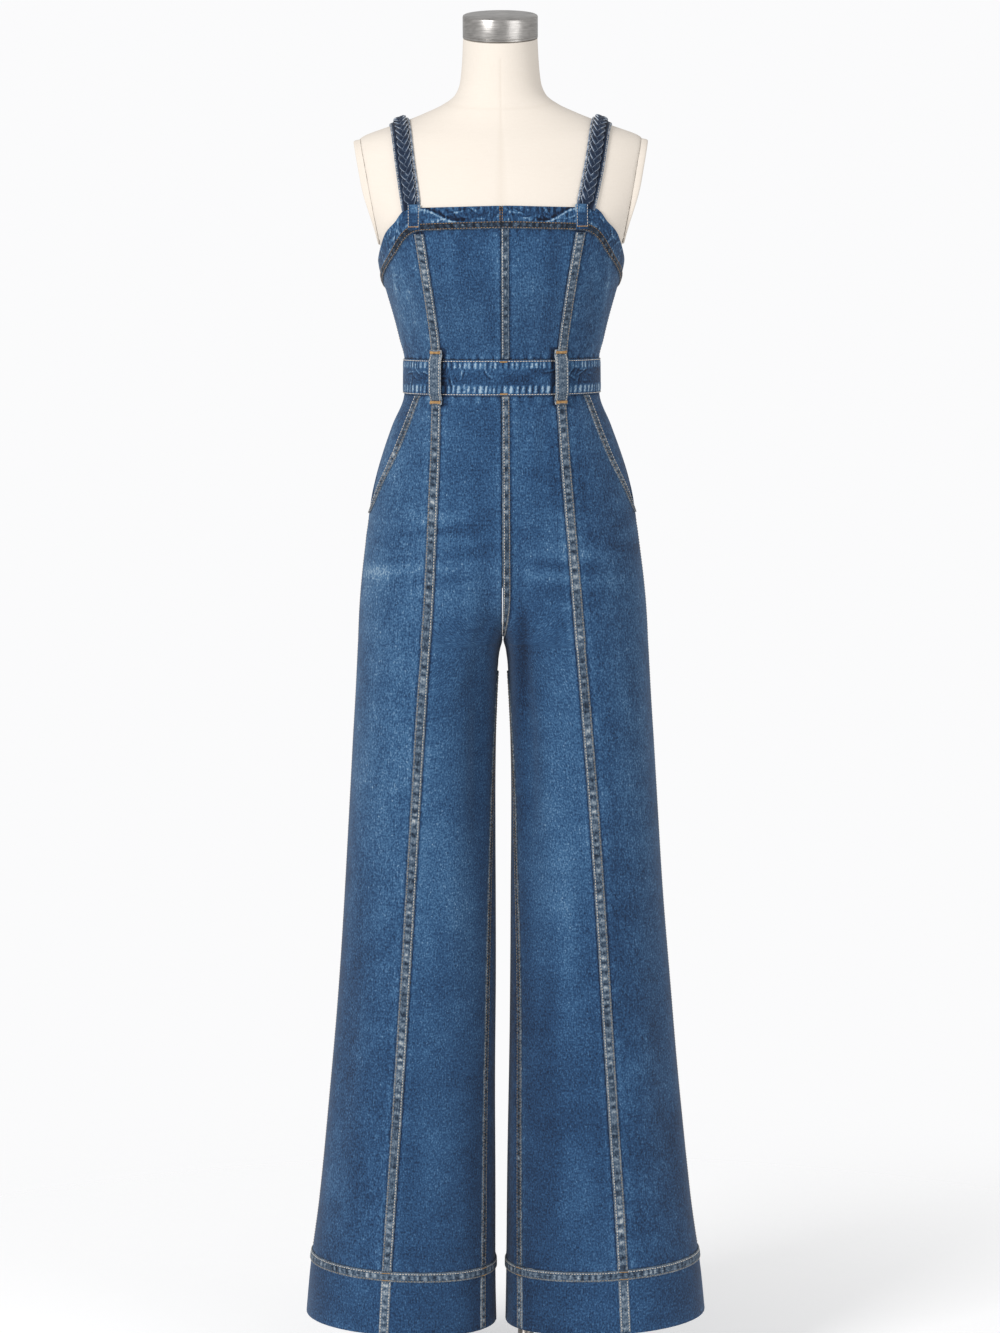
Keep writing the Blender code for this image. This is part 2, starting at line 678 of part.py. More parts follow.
# The dress form's surface
def form_depth(x, height, behind):
    """Distance of the form's surface from the plane through both shoulders, at this x and height."""
    half, front, back, power = read(FORM, height)
    share = 1.0 - min(abs(x) / half, 1.0) ** power
    return (back if behind else front) * share ** (1 / power)


def form_ridge(x):
    """Height of the top of the shoulder at this distance from the centre."""
    low, high = 1.500, 1.600
    for _ in range(30):
        middle = (low + high) / 2
        if read(FORM, middle)[0] > x:
            low = middle
        else:
            high = middle
    return low


def make_form():
    rings = len(FORM_RINGS)
    bm = bmesh.new()
    bmesh.ops.create_uvsphere(bm, u_segments=FORM_SIDES, v_segments=rings + 1, radius=1.0)
    for vert in bm.verts:
        level = round((1 - math.acos(max(-1.0, min(1.0, vert.co.z))) / math.pi) * (rings + 1)) - 1
        height = FORM_RINGS[min(max(level, 0), rings - 1)]
        half, front, back, power = read(FORM, height)
        angle = math.atan2(vert.co.y, vert.co.x)
        shrink = 0.95 if level == 0 else 1.0
        if level in (-1, rings):
            shrink = 0.0
        x = shrink * half * signed_power(math.cos(angle), 2 / power)
        y = shrink * (front if math.sin(angle) < 0 else back) * signed_power(math.sin(angle), 2 / power)
        lean = min(max((height - 1.592) / (NECK_TOP - 1.592), 0.0), 1.0)
        vert.co = Vector((x, y, height + y * math.tan(NECK_TILT) * lean))
    for side in SIDES.values():
        faces = bm.verts[:] + bm.edges[:] + bm.faces[:]
        normal = Vector((side, 0.0, -PLATE_LEAN))
        spot = Vector((side * PLATE_TOP.x, 0.0, PLATE_TOP.z))
        cut = bmesh.ops.bisect_plane(bm, geom=faces, plane_co=spot, plane_no=normal, clear_outer=True)
        rim = [item for item in cut["geom_cut"] if isinstance(item, bmesh.types.BMEdge)]
        bmesh.ops.holes_fill(bm, edges=rim)
    finish_object("form_torso", bm, "linen")
    make_arm_plates()


def make_arm_plates():
    """Flat plates with eased edges on the cut armholes, made from the form's own outline there."""
    steps = 9
    for label, side in SIDES.items():
        outline = []
        for behind in (False, True):
            shares = range(steps + 1) if not behind else range(steps - 1, 0, -1)
            for i in shares:
                height = PLATE_FOOT + (PLATE_HEAD - PLATE_FOOT) * (0.5 - 0.5 * math.cos(math.pi * i / steps))
                x = PLATE_TOP.x + PLATE_LEAN * (height - PLATE_TOP.z)
                y = (1 if behind else -1) * max(form_depth(x, height, behind) - 0.0010, 0.0030)
                outline.append(Vector((side * (x + GAP), y, height)))
        bm = bmesh.new()
        base = [bm.verts.new(spot) for spot in outline]
        face = bm.faces.new(base)
        grown = bmesh.ops.extrude_face_region(bm, geom=[face], use_keep_orig=True)
        away = Vector((side, 0.0, -PLATE_LEAN)).normalized()
        for item in grown["geom"]:
            if isinstance(item, bmesh.types.BMVert):
                item.co += PLATE_THICK * away
        plate = finish_object(f"arm_plate_{label}", bm, "linen")
        edge = plate.modifiers.new("eased edge", "BEVEL")
        edge.width = 0.0020
        edge.segments = 2
        edge.angle_limit = math.radians(50)


def cylinder(name, radius, low, high, x, material, sides=48, eased=0.0):
    bm = bmesh.new()
    bmesh.ops.create_cone(
        bm, cap_ends=True, segments=sides, radius1=radius, radius2=radius, depth=high - low,
    )
    obj = finish_object(name, bm, material)
    obj.location = (x, 0.0, (low + high) / 2)
    if eased:
        edge = obj.modifiers.new("eased edge", "BEVEL")
        edge.width = eased
        edge.segments = 2
    return obj


def make_stand():
    cylinder("base_plate", BASE_RADIUS, 0.0, BASE_THICK, POLE_X, "steel", sides=64, eased=0.0020)
    collar_top = BASE_THICK + COLLAR_HIGH
    cylinder("base_collar", COLLAR_RADIUS, BASE_THICK + GAP, collar_top, POLE_X, "steel", 32, 0.0015)
    flange_low = FORM_BOTTOM - GAP - FLANGE_THICK
    cylinder("pole", POLE_RADIUS, collar_top + GAP, flange_low - GAP, POLE_X, "steel", 24)
    cylinder("form_flange", FLANGE_RADIUS, flange_low, FORM_BOTTOM - GAP, POLE_X, "steel", 32)
    cap = cylinder("neck_cap", CAP_RADIUS, 0.0, CAP_HIGH, 0.0, "steel", eased=0.0015)
    cap.location = Vector((0.0, -0.0012, NECK_TOP + GAP)) + CAP_HIGH / 2 * Vector(
        (0.0, -math.sin(NECK_TILT), math.cos(NECK_TILT))
    )
    cap.rotation_euler = (NECK_TILT, 0.0, 0.0)


# Straps, which lie along the dress form's surface and over its shoulders
StrapRow = namedtuple("StrapRow", "share x")
STRAP_LINE = [
    StrapRow(0.00, 0.1075),
    StrapRow(0.38, 0.1235),
    StrapRow(0.50, 0.1240),
    StrapRow(1.00, 0.0920),
]


def strap_spot(side, share, shift=0.0):
    """Where the strap lies on the form, from the bodice's front edge at 0 to its back edge at 1."""
    x = read(STRAP_LINE, share)[0]
    if side > 0:
        x -= STRAP_LEAN * max(0.0, 1 - share / STRAP_LEAN_ENDS) ** 2
    front_foot, back_foot = TOP_EDGE_HIGH + STRAP_FOOT, top_edge(BACK_SEAM) + STRAP_FOOT
    first = math.atan2(front_foot - STRAP_EYE.z, -form_depth(x, front_foot, False) - STRAP_EYE.y)
    last = math.atan2(back_foot - STRAP_EYE.z, form_depth(x, back_foot, True) - STRAP_EYE.y)
    angle = first + share * (last - first)
    x += shift
    ray = Vector((0.0, math.cos(angle), math.sin(angle)))
    eye = Vector((x, STRAP_EYE.y, STRAP_EYE.z))
    ridge = form_ridge(x)
    low, high = 0.02, 0.30
    for _ in range(36):
        middle = (low + high) / 2
        spot = eye + middle * ray
        if spot.z < ridge and abs(spot.y) < form_depth(x, spot.z, spot.y > 0):
            low = middle
        else:
            high = middle
    return eye + low * ray


def strap_frames(side, count):
    """Evenly spaced spots along the strap with its sideways and outward directions, and its length."""
    fine = 160
    spots = [strap_spot(side, i / fine) for i in range(fine + 1)]
    lengths = [0.0]
    for a, b in zip(spots, spots[1:]):
        lengths.append(lengths[-1] + (b - a).length)
    frames = []
    for i in range(count + 1):
        wanted = lengths[-1] * i / count
        index = next(j for j in range(fine) if lengths[j + 1] >= wanted - 1e-9)
        part = (wanted - lengths[index]) / (lengths[index + 1] - lengths[index])
        share = (index + part) / fine
        along = strap_spot(side, min(share + 0.03, 1.0)) - strap_spot(side, max(share - 0.03, 0.0))
        along.normalize()
        sideways = strap_spot(side, share, STRAP_WIDTH / 3) - strap_spot(side, share, -STRAP_WIDTH / 3)
        sideways = (sideways - sideways.dot(along) * along).normalized()
        frames.append((strap_spot(side, share), sideways, sideways.cross(along).normalized()))
    return frames, lengths[-1]


def make_straps():
    rows = 2 * round(strap_frames(-1.0, 1)[1] / BRAID_PITCH)
    for label, side in SIDES.items():
        frames = strap_frames(side, rows)[0]

        def strap_face(u, v, out, side=side, frames=frames):
            spot, sideways, up = frames[2 * round(v * (rows // 2))]
            place = spot + (u - 0.5) * STRAP_WIDTH * sideways + (STRAP_CLEAR + out) * up
            if v in (0.0, 1.0):
                place.z = spot.z
            return Vector((side * place.x, place.y, place.z))

        def braid_face(u, v, out, side=side, frames=frames):
            row = round(v * rows)
            spot, sideways, up = frames[row]
            rise = out
            if out > 0:
                lobe = {0.25: row % 2 == 0, 0.5: True, 0.75: row % 2 == 1}.get(round(u, 2), False)
                rise = BRAID_HIGH if lobe else BRAID_LOW
                rise *= 0.75 if abs(u - 0.5) < 0.01 else 1.0
            base = STRAP_CLEAR + STRAP_THICK + BRAID_SEAT
            place = spot + (u - 0.5) * BRAID_WIDTH * sideways + (base + rise) * up
            return Vector((side * place.x, place.y, place.z))

        wall(f"strap_{label}", "denim_braid", 1, rows // 2, strap_face, 0.0, STRAP_THICK)
        wall(f"braid_{label}", "denim_braid", 4, rows, braid_face, 0.0, BRAID_HIGH)


# Zip at the centre back: the slider is fixed and its tab swings
def box(bm, low, high):
    made = bmesh.ops.create_cube(bm, size=1.0)["verts"]
    for vert in made:
        vert.co = Vector([low[i] if vert.co[i] < 0 else high[i] for i in range(3)])


def make_cutter(obj):
    parts.objects.unlink(obj)
    cutters.objects.link(obj)
    obj.hide_render = True
    obj.display_type = "WIRE"


def joined(name, material, adders):
    """One object from several overlapping shapes, joined with Boolean unions."""
    pieces = []
    for i, add in enumerate(adders):
        bm = bmesh.new()
        add(bm)
        pieces.append(finish_object(f"{name}_{i}", bm, material, smooth=False))
    body = pieces[0]
    for other in pieces[1:]:
        make_cutter(other)
        union = body.modifiers.new(f"with {other.name}", "BOOLEAN")
        union.operation = "UNION"
        union.solver = "EXACT"
        union.object = other
    body.name = name
    return body


def x_cylinder(bm, radius, half, y, z, sides=16):
    made = bmesh.ops.create_cone(
        bm, cap_ends=True, segments=sides, radius1=radius, radius2=radius, depth=2 * half,
    )["verts"]
    for vert in made:
        vert.co = Vector((vert.co.z, vert.co.x + y, vert.co.y + z))


def make_zip():
    back = on_cloth(1.0, 1.0, ZIP_HINGE_Z, 0.0).y
    hinge = back + ZIP_HINGE_OUT
    base = back + SLIDER_SEAT
    ear_low = Vector((SLIDER_HALF - EAR_THICK, base + SLIDER_THICK / 2, ZIP_HINGE_Z - EAR_HALF))
    ear_high = Vector((SLIDER_HALF, hinge + EAR_THICK, ZIP_HINGE_Z + EAR_HALF))
    joined("zip_slider", "zip_metal", [
        lambda bm: box(
            bm, (-SLIDER_HALF, base, ZIP_HINGE_Z - 0.0060),
            (SLIDER_HALF, base + SLIDER_THICK, ZIP_HINGE_Z + 0.0040),
        ),
        lambda bm: box(bm, (-ear_high.x, *ear_low.yz), (-ear_low.x, *ear_high.yz)),
        lambda bm: box(bm, ear_low, ear_high),
        lambda bm: x_cylinder(bm, ZIP_PIN_RADIUS, SLIDER_HALF - EAR_THICK / 2, hinge, ZIP_HINGE_Z),
    ])
    tab = joined("zip_pull", "zip_metal", [
        lambda bm: box(
            bm, (-TAB_WIDE / 2, hinge - TAB_THICK / 2, ZIP_HINGE_Z - TAB_LONG),
            (TAB_WIDE / 2, hinge + TAB_THICK / 2, ZIP_HINGE_Z - 0.0075),
        ),
        lambda bm: box(
            bm, (-TAB_NECK / 2, hinge - TAB_THICK / 2, ZIP_HINGE_Z - 0.0085),
            (TAB_NECK / 2, hinge + TAB_THICK / 2, ZIP_HINGE_Z - 0.0013),
        ),
        lambda bm: x_cylinder(bm, ZIP_EYE_RADIUS, ZIP_EYE_HALF, hinge, ZIP_HINGE_Z),
    ])
    bm = bmesh.new()
    x_cylinder(bm, ZIP_PIN_RADIUS + GAP, 2 * ZIP_EYE_HALF, hinge, ZIP_HINGE_Z)
    bore = finish_object("zip_pull_bore", bm, "zip_metal", smooth=False)
    make_cutter(bore)
    cut = tab.modifiers.new("eye", "BOOLEAN")
    cut.operation = "DIFFERENCE"
    cut.solver = "EXACT"
    cut.object = bore


for old in list(bpy.data.objects):
    bpy.data.objects.remove(old)
parts = bpy.data.collections.new("denim jumpsuit on a dress form")
cutters = bpy.data.collections.new("cutters")
bpy.context.scene.collection.children.link(parts)
bpy.context.scene.collection.children.link(cutters)
for finish_name in FINISHES:
    make_material(finish_name)
make_trousers()
make_hem_bands()
make_bodice()
make_waistband()
make_belt_loops()
make_form()
make_stand()
make_straps()
make_zip()
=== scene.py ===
import math

import bpy
import numpy as np
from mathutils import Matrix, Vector


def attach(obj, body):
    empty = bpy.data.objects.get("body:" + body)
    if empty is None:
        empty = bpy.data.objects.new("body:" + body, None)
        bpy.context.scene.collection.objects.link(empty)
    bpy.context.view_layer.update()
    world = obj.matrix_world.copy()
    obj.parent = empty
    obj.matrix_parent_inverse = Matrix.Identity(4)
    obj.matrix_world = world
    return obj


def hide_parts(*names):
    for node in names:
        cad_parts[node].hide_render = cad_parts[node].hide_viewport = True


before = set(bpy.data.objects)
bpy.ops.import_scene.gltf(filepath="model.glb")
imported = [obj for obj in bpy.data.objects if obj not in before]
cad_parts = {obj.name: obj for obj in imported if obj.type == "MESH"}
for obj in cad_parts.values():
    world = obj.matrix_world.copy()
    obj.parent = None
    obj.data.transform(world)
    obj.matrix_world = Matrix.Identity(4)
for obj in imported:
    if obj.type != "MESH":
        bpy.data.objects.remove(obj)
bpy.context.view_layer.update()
garmentBody = "jumpsuit_and_form"
sides = {"left": 1.0, "right": -1.0}

# Shape of the cloth, as the solids have it

cloth = {
    "thick": 0.0016,  # one denim wall
    "gap": 0.0003,  # between two sewn pieces
    "waistLow": 1.2360,
    "waistHigh": 1.2790,
    "riseTop": 1.0600,
    "crotch": 0.9330,
    "riseReach": 0.055,
    "thighTop": 1.0900,
    "thighFoot": 0.8000,
    "hem": 0.0865,
    "hemDeep": 0.0790,
    "hemTilt": 0.0060,
    "tiltTop": 0.3000,
    "sway": 0.0060,
    "swayTop": 0.7500,
    "legPower": 2.10,
    "warp": 0.079,
    "sideSeam": 0.5,
    "backSeam": 0.72,
    "bandDeep": 0.0250,
    "pocketFoot": 1.0900,
}

# height, half width, depth in front, depth behind, squareness
bodyRows = np.array([
    (0.930, 0.1780, 0.1080, 0.1150, 2.10),
    (0.982, 0.1740, 0.1100, 0.1180, 2.10),
    (1.044, 0.1680, 0.1115, 0.1200, 2.15),
    (1.105, 0.1610, 0.1095, 0.1170, 2.20),
    (1.136, 0.1542, 0.1070, 0.1125, 2.20),
    (1.166, 0.1452, 0.1035, 0.1060, 2.20),
    (1.197, 0.1342, 0.0990, 0.0975, 2.20),
    (1.236, 0.1195, 0.0930, 0.0865, 2.20),
    (1.279, 0.1190, 0.0925, 0.0850, 2.20),
    (1.300, 0.1238, 0.0975, 0.0870, 2.20),
    (1.325, 0.1300, 0.1070, 0.0900, 2.25),
    (1.361, 0.1402, 0.1210, 0.0945, 2.35),
    (1.385, 0.1476, 0.1262, 0.0972, 2.40),
    (1.405, 0.1515, 0.1262, 0.0992, 2.40),
    (1.430, 0.1640, 0.1205, 0.1012, 2.35),
    (1.450, 0.1745, 0.1145, 0.1020, 2.30),
    (1.475, 0.1840, 0.1065, 0.1020, 2.25),
])

# height, nearest and furthest from the centre, depth in front, depth behind
legRows = np.array([
    (0.078, 0.0052, 0.2500, 0.1065, 0.1045),
    (0.135, 0.0062, 0.2445, 0.1050, 0.1035),
    (0.231, 0.0070, 0.2315, 0.1035, 0.1025),
    (0.358, 0.0080, 0.2185, 0.1020, 0.1015),
    (0.484, 0.0086, 0.2070, 0.1010, 0.1015),
    (0.609, 0.0093, 0.1975, 0.1005, 0.1030),
    (0.734, 0.0093, 0.1895, 0.1010, 0.1055),
    (0.859, 0.0076, 0.1827, 0.1030, 0.1095),
    (0.889, 0.0066, 0.1812, 0.1040, 0.1110),
    (0.916, 0.0042, 0.1795, 0.1060, 0.1130),
    (0.933, 0.0002, 0.1780, 0.1080, 0.1150),
])

# where round the leg, how wide, from and to which height, how deep
softFolds = [
    (0.115, 0.030, 0.600, 1.000, -0.0060),
    (0.185, 0.035, 0.420, 0.900, 0.0030),
    (0.400, 0.045, 0.120, 0.700, -0.0035),
    (0.640, 0.040, 0.250, 0.960, -0.0050),
    (0.740, 0.040, 0.080, 0.800, 0.0045),
    (0.870, 0.035, 0.450, 0.990, -0.0060),
]

# height and distance from the centre plane
frontSeamRows = np.array([
    (0.078, 0.1455), (0.167, 0.1405), (0.255, 0.1347), (0.379, 0.1264), (0.503, 0.1187), (0.626, 0.1112),
    (0.748, 0.1037), (0.870, 0.0958), (0.991, 0.0866), (1.052, 0.0833), (1.112, 0.0804), (1.172, 0.0776),
    (1.240, 0.0762),
])
bodiceSeamRows = np.array([
    (1.270, 0.0755), (1.300, 0.0775), (1.351, 0.0836), (1.398, 0.0908), (1.434, 0.0962), (1.475, 0.1010),
])
leftLeanRows = np.array([
    (0.078, -0.0015), (0.255, -0.0033), (0.503, -0.0032), (0.748, -0.0020), (0.870, -0.0007),
    (0.990, 0.0000), (1.050, 0.0015), (1.100, 0.0032), (1.190, 0.0060), (1.236, 0.0078),
    (1.300, 0.0060), (1.351, 0.0051), (1.398, 0.0047), (1.434, 0.0033), (1.475, 0.0020),
])  # on the wearer's left the front seams lie this much further in
pocketRows = np.array([
    (1.0900, 0.1630), (1.1070, 0.1575), (1.1270, 0.1500), (1.1630, 0.1340), (1.2400, 0.1035),
])
inseamRows = np.array([(0.078, 0.080), (0.484, 0.070), (0.734, 0.045), (0.859, 0.020), (0.920, 0.000)])
topEdgeRows = np.array([
    (0.000, 1.4630), (0.285, 1.4622), (0.300, 1.4585), (0.322, 1.4460), (0.361, 1.4340), (0.395, 1.4220),
    (0.437, 1.4100), (0.470, 1.4020), (0.500, 1.3960), (0.600, 1.3870), (0.750, 1.3850), (1.000, 1.3860),
])

slopeStore = {}


def slopesOf(rows):
    key = rows.tobytes()
    if key not in slopeStore:
        step = (rows[1:, 1:] - rows[:-1, 1:]) / (rows[1:, :1] - rows[:-1, :1])
        before, after = step[:-1], step[1:]
        total = np.where(before + after == 0, 1.0, before + after)
        middle = np.where(before * after <= 0, 0.0, 2 * before * after / total)
        slopeStore[key] = np.vstack([step[:1], middle, step[-1:]])
    return slopeStore[key]


def readRows(rows, where):  # smooth curves through a table's rows, one column of values per column
    where = np.clip(np.asarray(where, float).ravel(), rows[0, 0], rows[-1, 0])
    at = np.clip(np.searchsorted(rows[:, 0], where) - 1, 0, len(rows) - 2)
    low, high, slope = rows[at], rows[at + 1], slopesOf(rows)
    span = high[:, :1] - low[:, :1]
    t = (where[:, None] - low[:, :1]) / span
    stay, reach = (1 + 2 * t) * (1 - t) ** 2, t * t * (3 - 2 * t)
    leave, arrive = t * (1 - t) ** 2 * span, t * t * (t - 1) * span
    return (stay * low[:, 1:] + reach * high[:, 1:] + leave * slope[at] + arrive * slope[at + 1]).T


def smoothStep(t):
    t = np.clip(t, 0.0, 1.0)
    return t * t * (3 - 2 * t)


def hump(off, width, power=2):  # 1 in the middle, fading to both sides
    return np.exp(-((off / width) ** power))


def between(value, low, lowEase, high, highEase):  # 1 from low to high, eased at both ends
    return smoothStep((value - low) / lowEase) * smoothStep((high - value) / highEase)


def unit(vectors):
    return vectors / np.maximum(np.linalg.norm(vectors, axis=-1, keepdims=True), 1e-12)


def runAlong(points):  # length of a line of points up to each of them
    return np.concatenate([[0], np.cumsum(np.linalg.norm(np.diff(points, axis=0), axis=1))])


def runAcross(grid):  # the same for every row of a grid
    steps = np.linalg.norm(np.diff(grid, axis=1), axis=2)
    return np.concatenate([np.zeros((len(grid), 1)), np.cumsum(steps, axis=1)], 1)


def signedPower(value, power):
    return np.sign(value) * np.abs(value) ** power


def bodyPoint(turn, height):
    half, front, back, power = readRows(bodyRows, height)
    angle = np.pi * (turn - cloth["warp"] * np.sin(2 * np.pi * turn) - 0.5)
    depth = np.where(np.sin(angle) < 0, front, back)
    return np.stack([
        half * signedPower(np.cos(angle), 2 / power), depth * signedPower(np.sin(angle), 2 / power), height,
    ], 1)


def legPoint(turn, height):
    inner, outer, front, back = readRows(legRows, height)
    angle = 2 * np.pi * turn - np.pi
    depth = np.where(np.sin(angle) < 0, front, back)
    power = 2 / cloth["legPower"]
    across = (inner + outer) / 2 + (outer - inner) / 2 * signedPower(np.cos(angle), power)
    return np.stack([across, depth * signedPower(np.sin(angle), power), height], 1)


def parted(turn, height):  # how far the body has become a leg
    fall = np.clip((cloth["riseTop"] - height) / (cloth["riseTop"] - cloth["crotch"]), 0.0, 1.0)
    rise = 1.0 - np.sqrt(1.0 - fall * fall)
    slow = smoothStep((cloth["thighTop"] - height) / (cloth["thighTop"] - cloth["thighFoot"]))
    away = np.minimum(turn, 1.0 - turn) / cloth["riseReach"]
    near = np.exp(-away * away)
    return near * rise + (1.0 - near) * slow


def plainPoint(turn, height):
    within = np.clip(turn, 0.0, 1.0)
    share = parted(within, height)
    isLeg = (share >= 1.0) | ((height < cloth["crotch"]) & (within != turn))
    share = np.where(isLeg, 1.0, share)[:, None]
    return bodyPoint(within, height) * (1 - share) + legPoint(turn, height) * share


def outward(point, turn, height):
    across = point(turn + 0.002, height) - point(turn - 0.002, height)
    down = point(turn, height - 0.0015) - point(turn, height + 0.0015)
    return unit(np.cross(down, across))


def foldDepth(turn, height):
    depth = np.zeros(len(turn))
    for place, width, low, high, deep in softFolds:
        fade = np.sin(np.pi * np.clip((height - low) / (high - low), 0, 1)) ** 2
        depth += deep * fade * hump(turn - place, width)
    return depth


def clothPoint(turn, height):
    spot = plainPoint(turn, height) + foldDepth(turn, height)[:, None] * outward(plainPoint, turn, height)
    low = np.clip((cloth["tiltTop"] - height) / (cloth["tiltTop"] - cloth["hem"] - cloth["hemDeep"]), 0, 1)
    spot[:, 2] -= cloth["hemTilt"] * low * np.cos(2 * np.pi * turn)
    return spot


# Soft creases in the worn cloth, each between two points seen from the front or from behind

wornFolds = {
    # x and z of both ends, half width, depth (in is minus), behind or not
    "creases": [
        (-0.090, 1.440, -0.050, 1.372, 0.0075, -0.0016, False),  # from the straps down over the bust
        (-0.066, 1.437, -0.040, 1.385, 0.0060, 0.0010, False),
        (0.090, 1.440, 0.056, 1.370, 0.0075, -0.0016, False),
        (0.068, 1.437, 0.044, 1.385, 0.0060, 0.0010, False),
        (-0.128, 1.395, -0.118, 1.300, 0.0060, 0.0009, False),  # upright folds in the side panels
        (-0.113, 1.400, -0.108, 1.310, 0.0050, -0.0009, False),
        (0.126, 1.395, 0.119, 1.300, 0.0050, 0.0009, False),
        (0.112, 1.400, 0.108, 1.312, 0.0050, -0.0009, False),
        (-0.004, 1.232, -0.012, 1.190, 0.0040, 0.0009, False),  # below the waistband
        (-0.018, 1.232, -0.022, 1.185, 0.0050, -0.0009, False),
        (0.026, 1.230, 0.022, 1.120, 0.0065, -0.0014, False),
        (0.040, 1.230, 0.036, 1.130, 0.0065, 0.0010, False),
        (0.052, 1.225, 0.050, 1.150, 0.0055, -0.0010, False),
        (-0.048, 1.225, -0.044, 1.150, 0.0060, -0.0009, False),
        (0.016, 1.100, 0.014, 1.010, 0.0060, -0.0013, False),
        (-0.014, 0.972, -0.038, 0.930, 0.0045, -0.0016, False),  # at the crotch
        (-0.010, 0.958, -0.026, 0.915, 0.0035, 0.0013, False),
        (0.023, 0.985, 0.027, 0.835, 0.0070, -0.0038, False),
        (0.036, 0.950, 0.075, 0.800, 0.0110, -0.0016, False),
        (-0.020, 0.940, -0.060, 0.840, 0.0090, -0.0018, False),
        (-0.165, 1.078, -0.115, 1.070, 0.0060, -0.0010, False),  # out from the foot of the pockets
        (-0.162, 1.062, -0.120, 1.058, 0.0060, 0.0008, False),
        (0.165, 1.078, 0.120, 1.072, 0.0060, -0.0009, False),
        (-0.030, 0.965, -0.130, 0.900, 0.0140, -0.0030, True),  # under the seat
        (-0.026, 0.985, -0.120, 0.945, 0.0110, 0.0020, True),
        (0.030, 0.965, 0.130, 0.895, 0.0140, -0.0030, True),
        (0.026, 0.985, 0.122, 0.940, 0.0110, 0.0020, True),
        (-0.090, 1.215, -0.040, 1.150, 0.0110, -0.0018, True),
        (0.090, 1.215, 0.044, 1.150, 0.0110, -0.0018, True),
        (-0.060, 1.360, -0.040, 1.290, 0.0100, -0.0016, True),
        (0.062, 1.362, 0.040, 1.292, 0.0100, -0.0016, True),
    ],
    "ripple": 0.00055,  # size of the slight unevenness of hanging cloth
    "seed": 7,
}


def clothWaves():
    rng = np.random.default_rng(wornFolds["seed"])
    waves = []
    for i in range(12):
        length = 0.050 + 0.016 * i
        heading = rng.normal(0, 0.55)  # mostly upright ripples
        pull = 2 * np.pi / length
        phase, size = rng.uniform(0, 6.28), rng.uniform(0.5, 1.0)
        waves.append((pull * math.cos(heading), pull * math.sin(heading) * 0.5, phase, size))
    return waves


hangingWaves = clothWaves()


def creaseDepth(spot, side):
    across, behind, tall = side * spot[:, 0], spot[:, 1] > 0.02, spot[:, 2]
    depth = np.zeros(len(spot))
    for x0, z0, x1, z1, width, deep, isBehind in wornFolds["creases"]:
        ex, ez = x1 - x0, z1 - z0
        along = ((across - x0) * ex + (tall - z0) * ez) / (ex * ex + ez * ez)
        near = np.clip(along, 0, 1)
        off = np.hypot(across - x0 - near * ex, tall - z0 - near * ez)
        fade = np.sin(np.pi * np.clip(0.08 + 0.84 * near, 0, 1)) ** 0.8
        depth += np.where(behind == isBehind, deep * fade * hump(off, width), 0.0)
    total = 0
    for kx, kz, phase, size in hangingWaves:
        total = total + size * np.sin(kx * (across + np.where(behind, 1.7, 0.0)) + kz * tall + phase)
    calm = smoothStep((tall - 1.30) / 0.1) * 0.5
    return depth + wornFolds["ripple"] * total / 3 * (1 - calm)


def swayOf(turn, height):
    low = smoothStep((cloth["swayTop"] - height) / (cloth["swayTop"] - cloth["hem"]))
    return cloth["sway"] * low * np.cos(np.pi * turn) ** 2


def onCloth(side, turn, height):  # spots on the cloth's outer face, with the outward direction of each
    turn, height = np.broadcast_arrays(np.asarray(turn, float), np.asarray(height, float))
    shape = turn.shape
    turn, height = turn.ravel(), height.ravel()
    spot, away = clothPoint(turn, height), outward(clothPoint, turn, height)
    spot = spot + creaseDepth(spot, side)[:, None] * away
    mirror = np.array([side, 1.0, 1.0])
    spot, away = spot * mirror, away * mirror
    spot[:, 0] -= swayOf(turn, height)
    return spot.reshape(*shape, 3), away.reshape(*shape, 3)


def turnAt(out, height):  # where on the front the cloth is this far from the centre plane
    out, height = np.broadcast_arrays(np.asarray(out, float), np.asarray(height, float))
    low, high = np.zeros(out.shape), np.full(out.shape, cloth["sideSeam"])
    for _ in range(26):
        middle = (low + high) / 2
        short = plainPoint(middle.ravel(), height.ravel())[:, 0].reshape(out.shape) < out
        low, high = np.where(short, middle, low), np.where(short, high, middle)
    return (low + high) / 2


def leaning(side, height):
    return readRows(leftLeanRows, height)[0] if side > 0 else 0.0


def frontSeam(height, side):
    return turnAt(readRows(frontSeamRows, height)[0] - leaning(side, height), height)


def bodiceSeam(height, side):
    return turnAt(readRows(bodiceSeamRows, height)[0] - leaning(side, height), height)


def pocketEdge(height, side=1.0):
    edge = turnAt(readRows(pocketRows, height)[0], height)
    return np.where(height <= cloth["pocketFoot"], cloth["sideSeam"], edge)


def inseam(height, side=1.0):
    return readRows(inseamRows, height)[0]


def topEdge(turn):
    return readRows(topEdgeRows, turn)[0]


def easedTopEdge(turn, ease, lower=0.0):  # the same edge with its corner outside the strap rounded
    turn = np.asarray(turn, float)
    total = 0
    for shift, weight in ((-1.0, 1), (-0.6, 2), (-0.2, 3), (0.2, 3), (0.6, 2), (1.0, 1)):
        total = total + weight * topEdge(turn + shift * ease)
    near = hump(turn.ravel() - 0.305, 0.085, 4)
    dip = lower * hump(turn.ravel() - 0.302, 0.020) + 0.0016 * smoothStep(turn.ravel() / 0.27)
    return (near * total / 12 + (1 - near) * topEdge(turn) - dip).reshape(turn.shape)


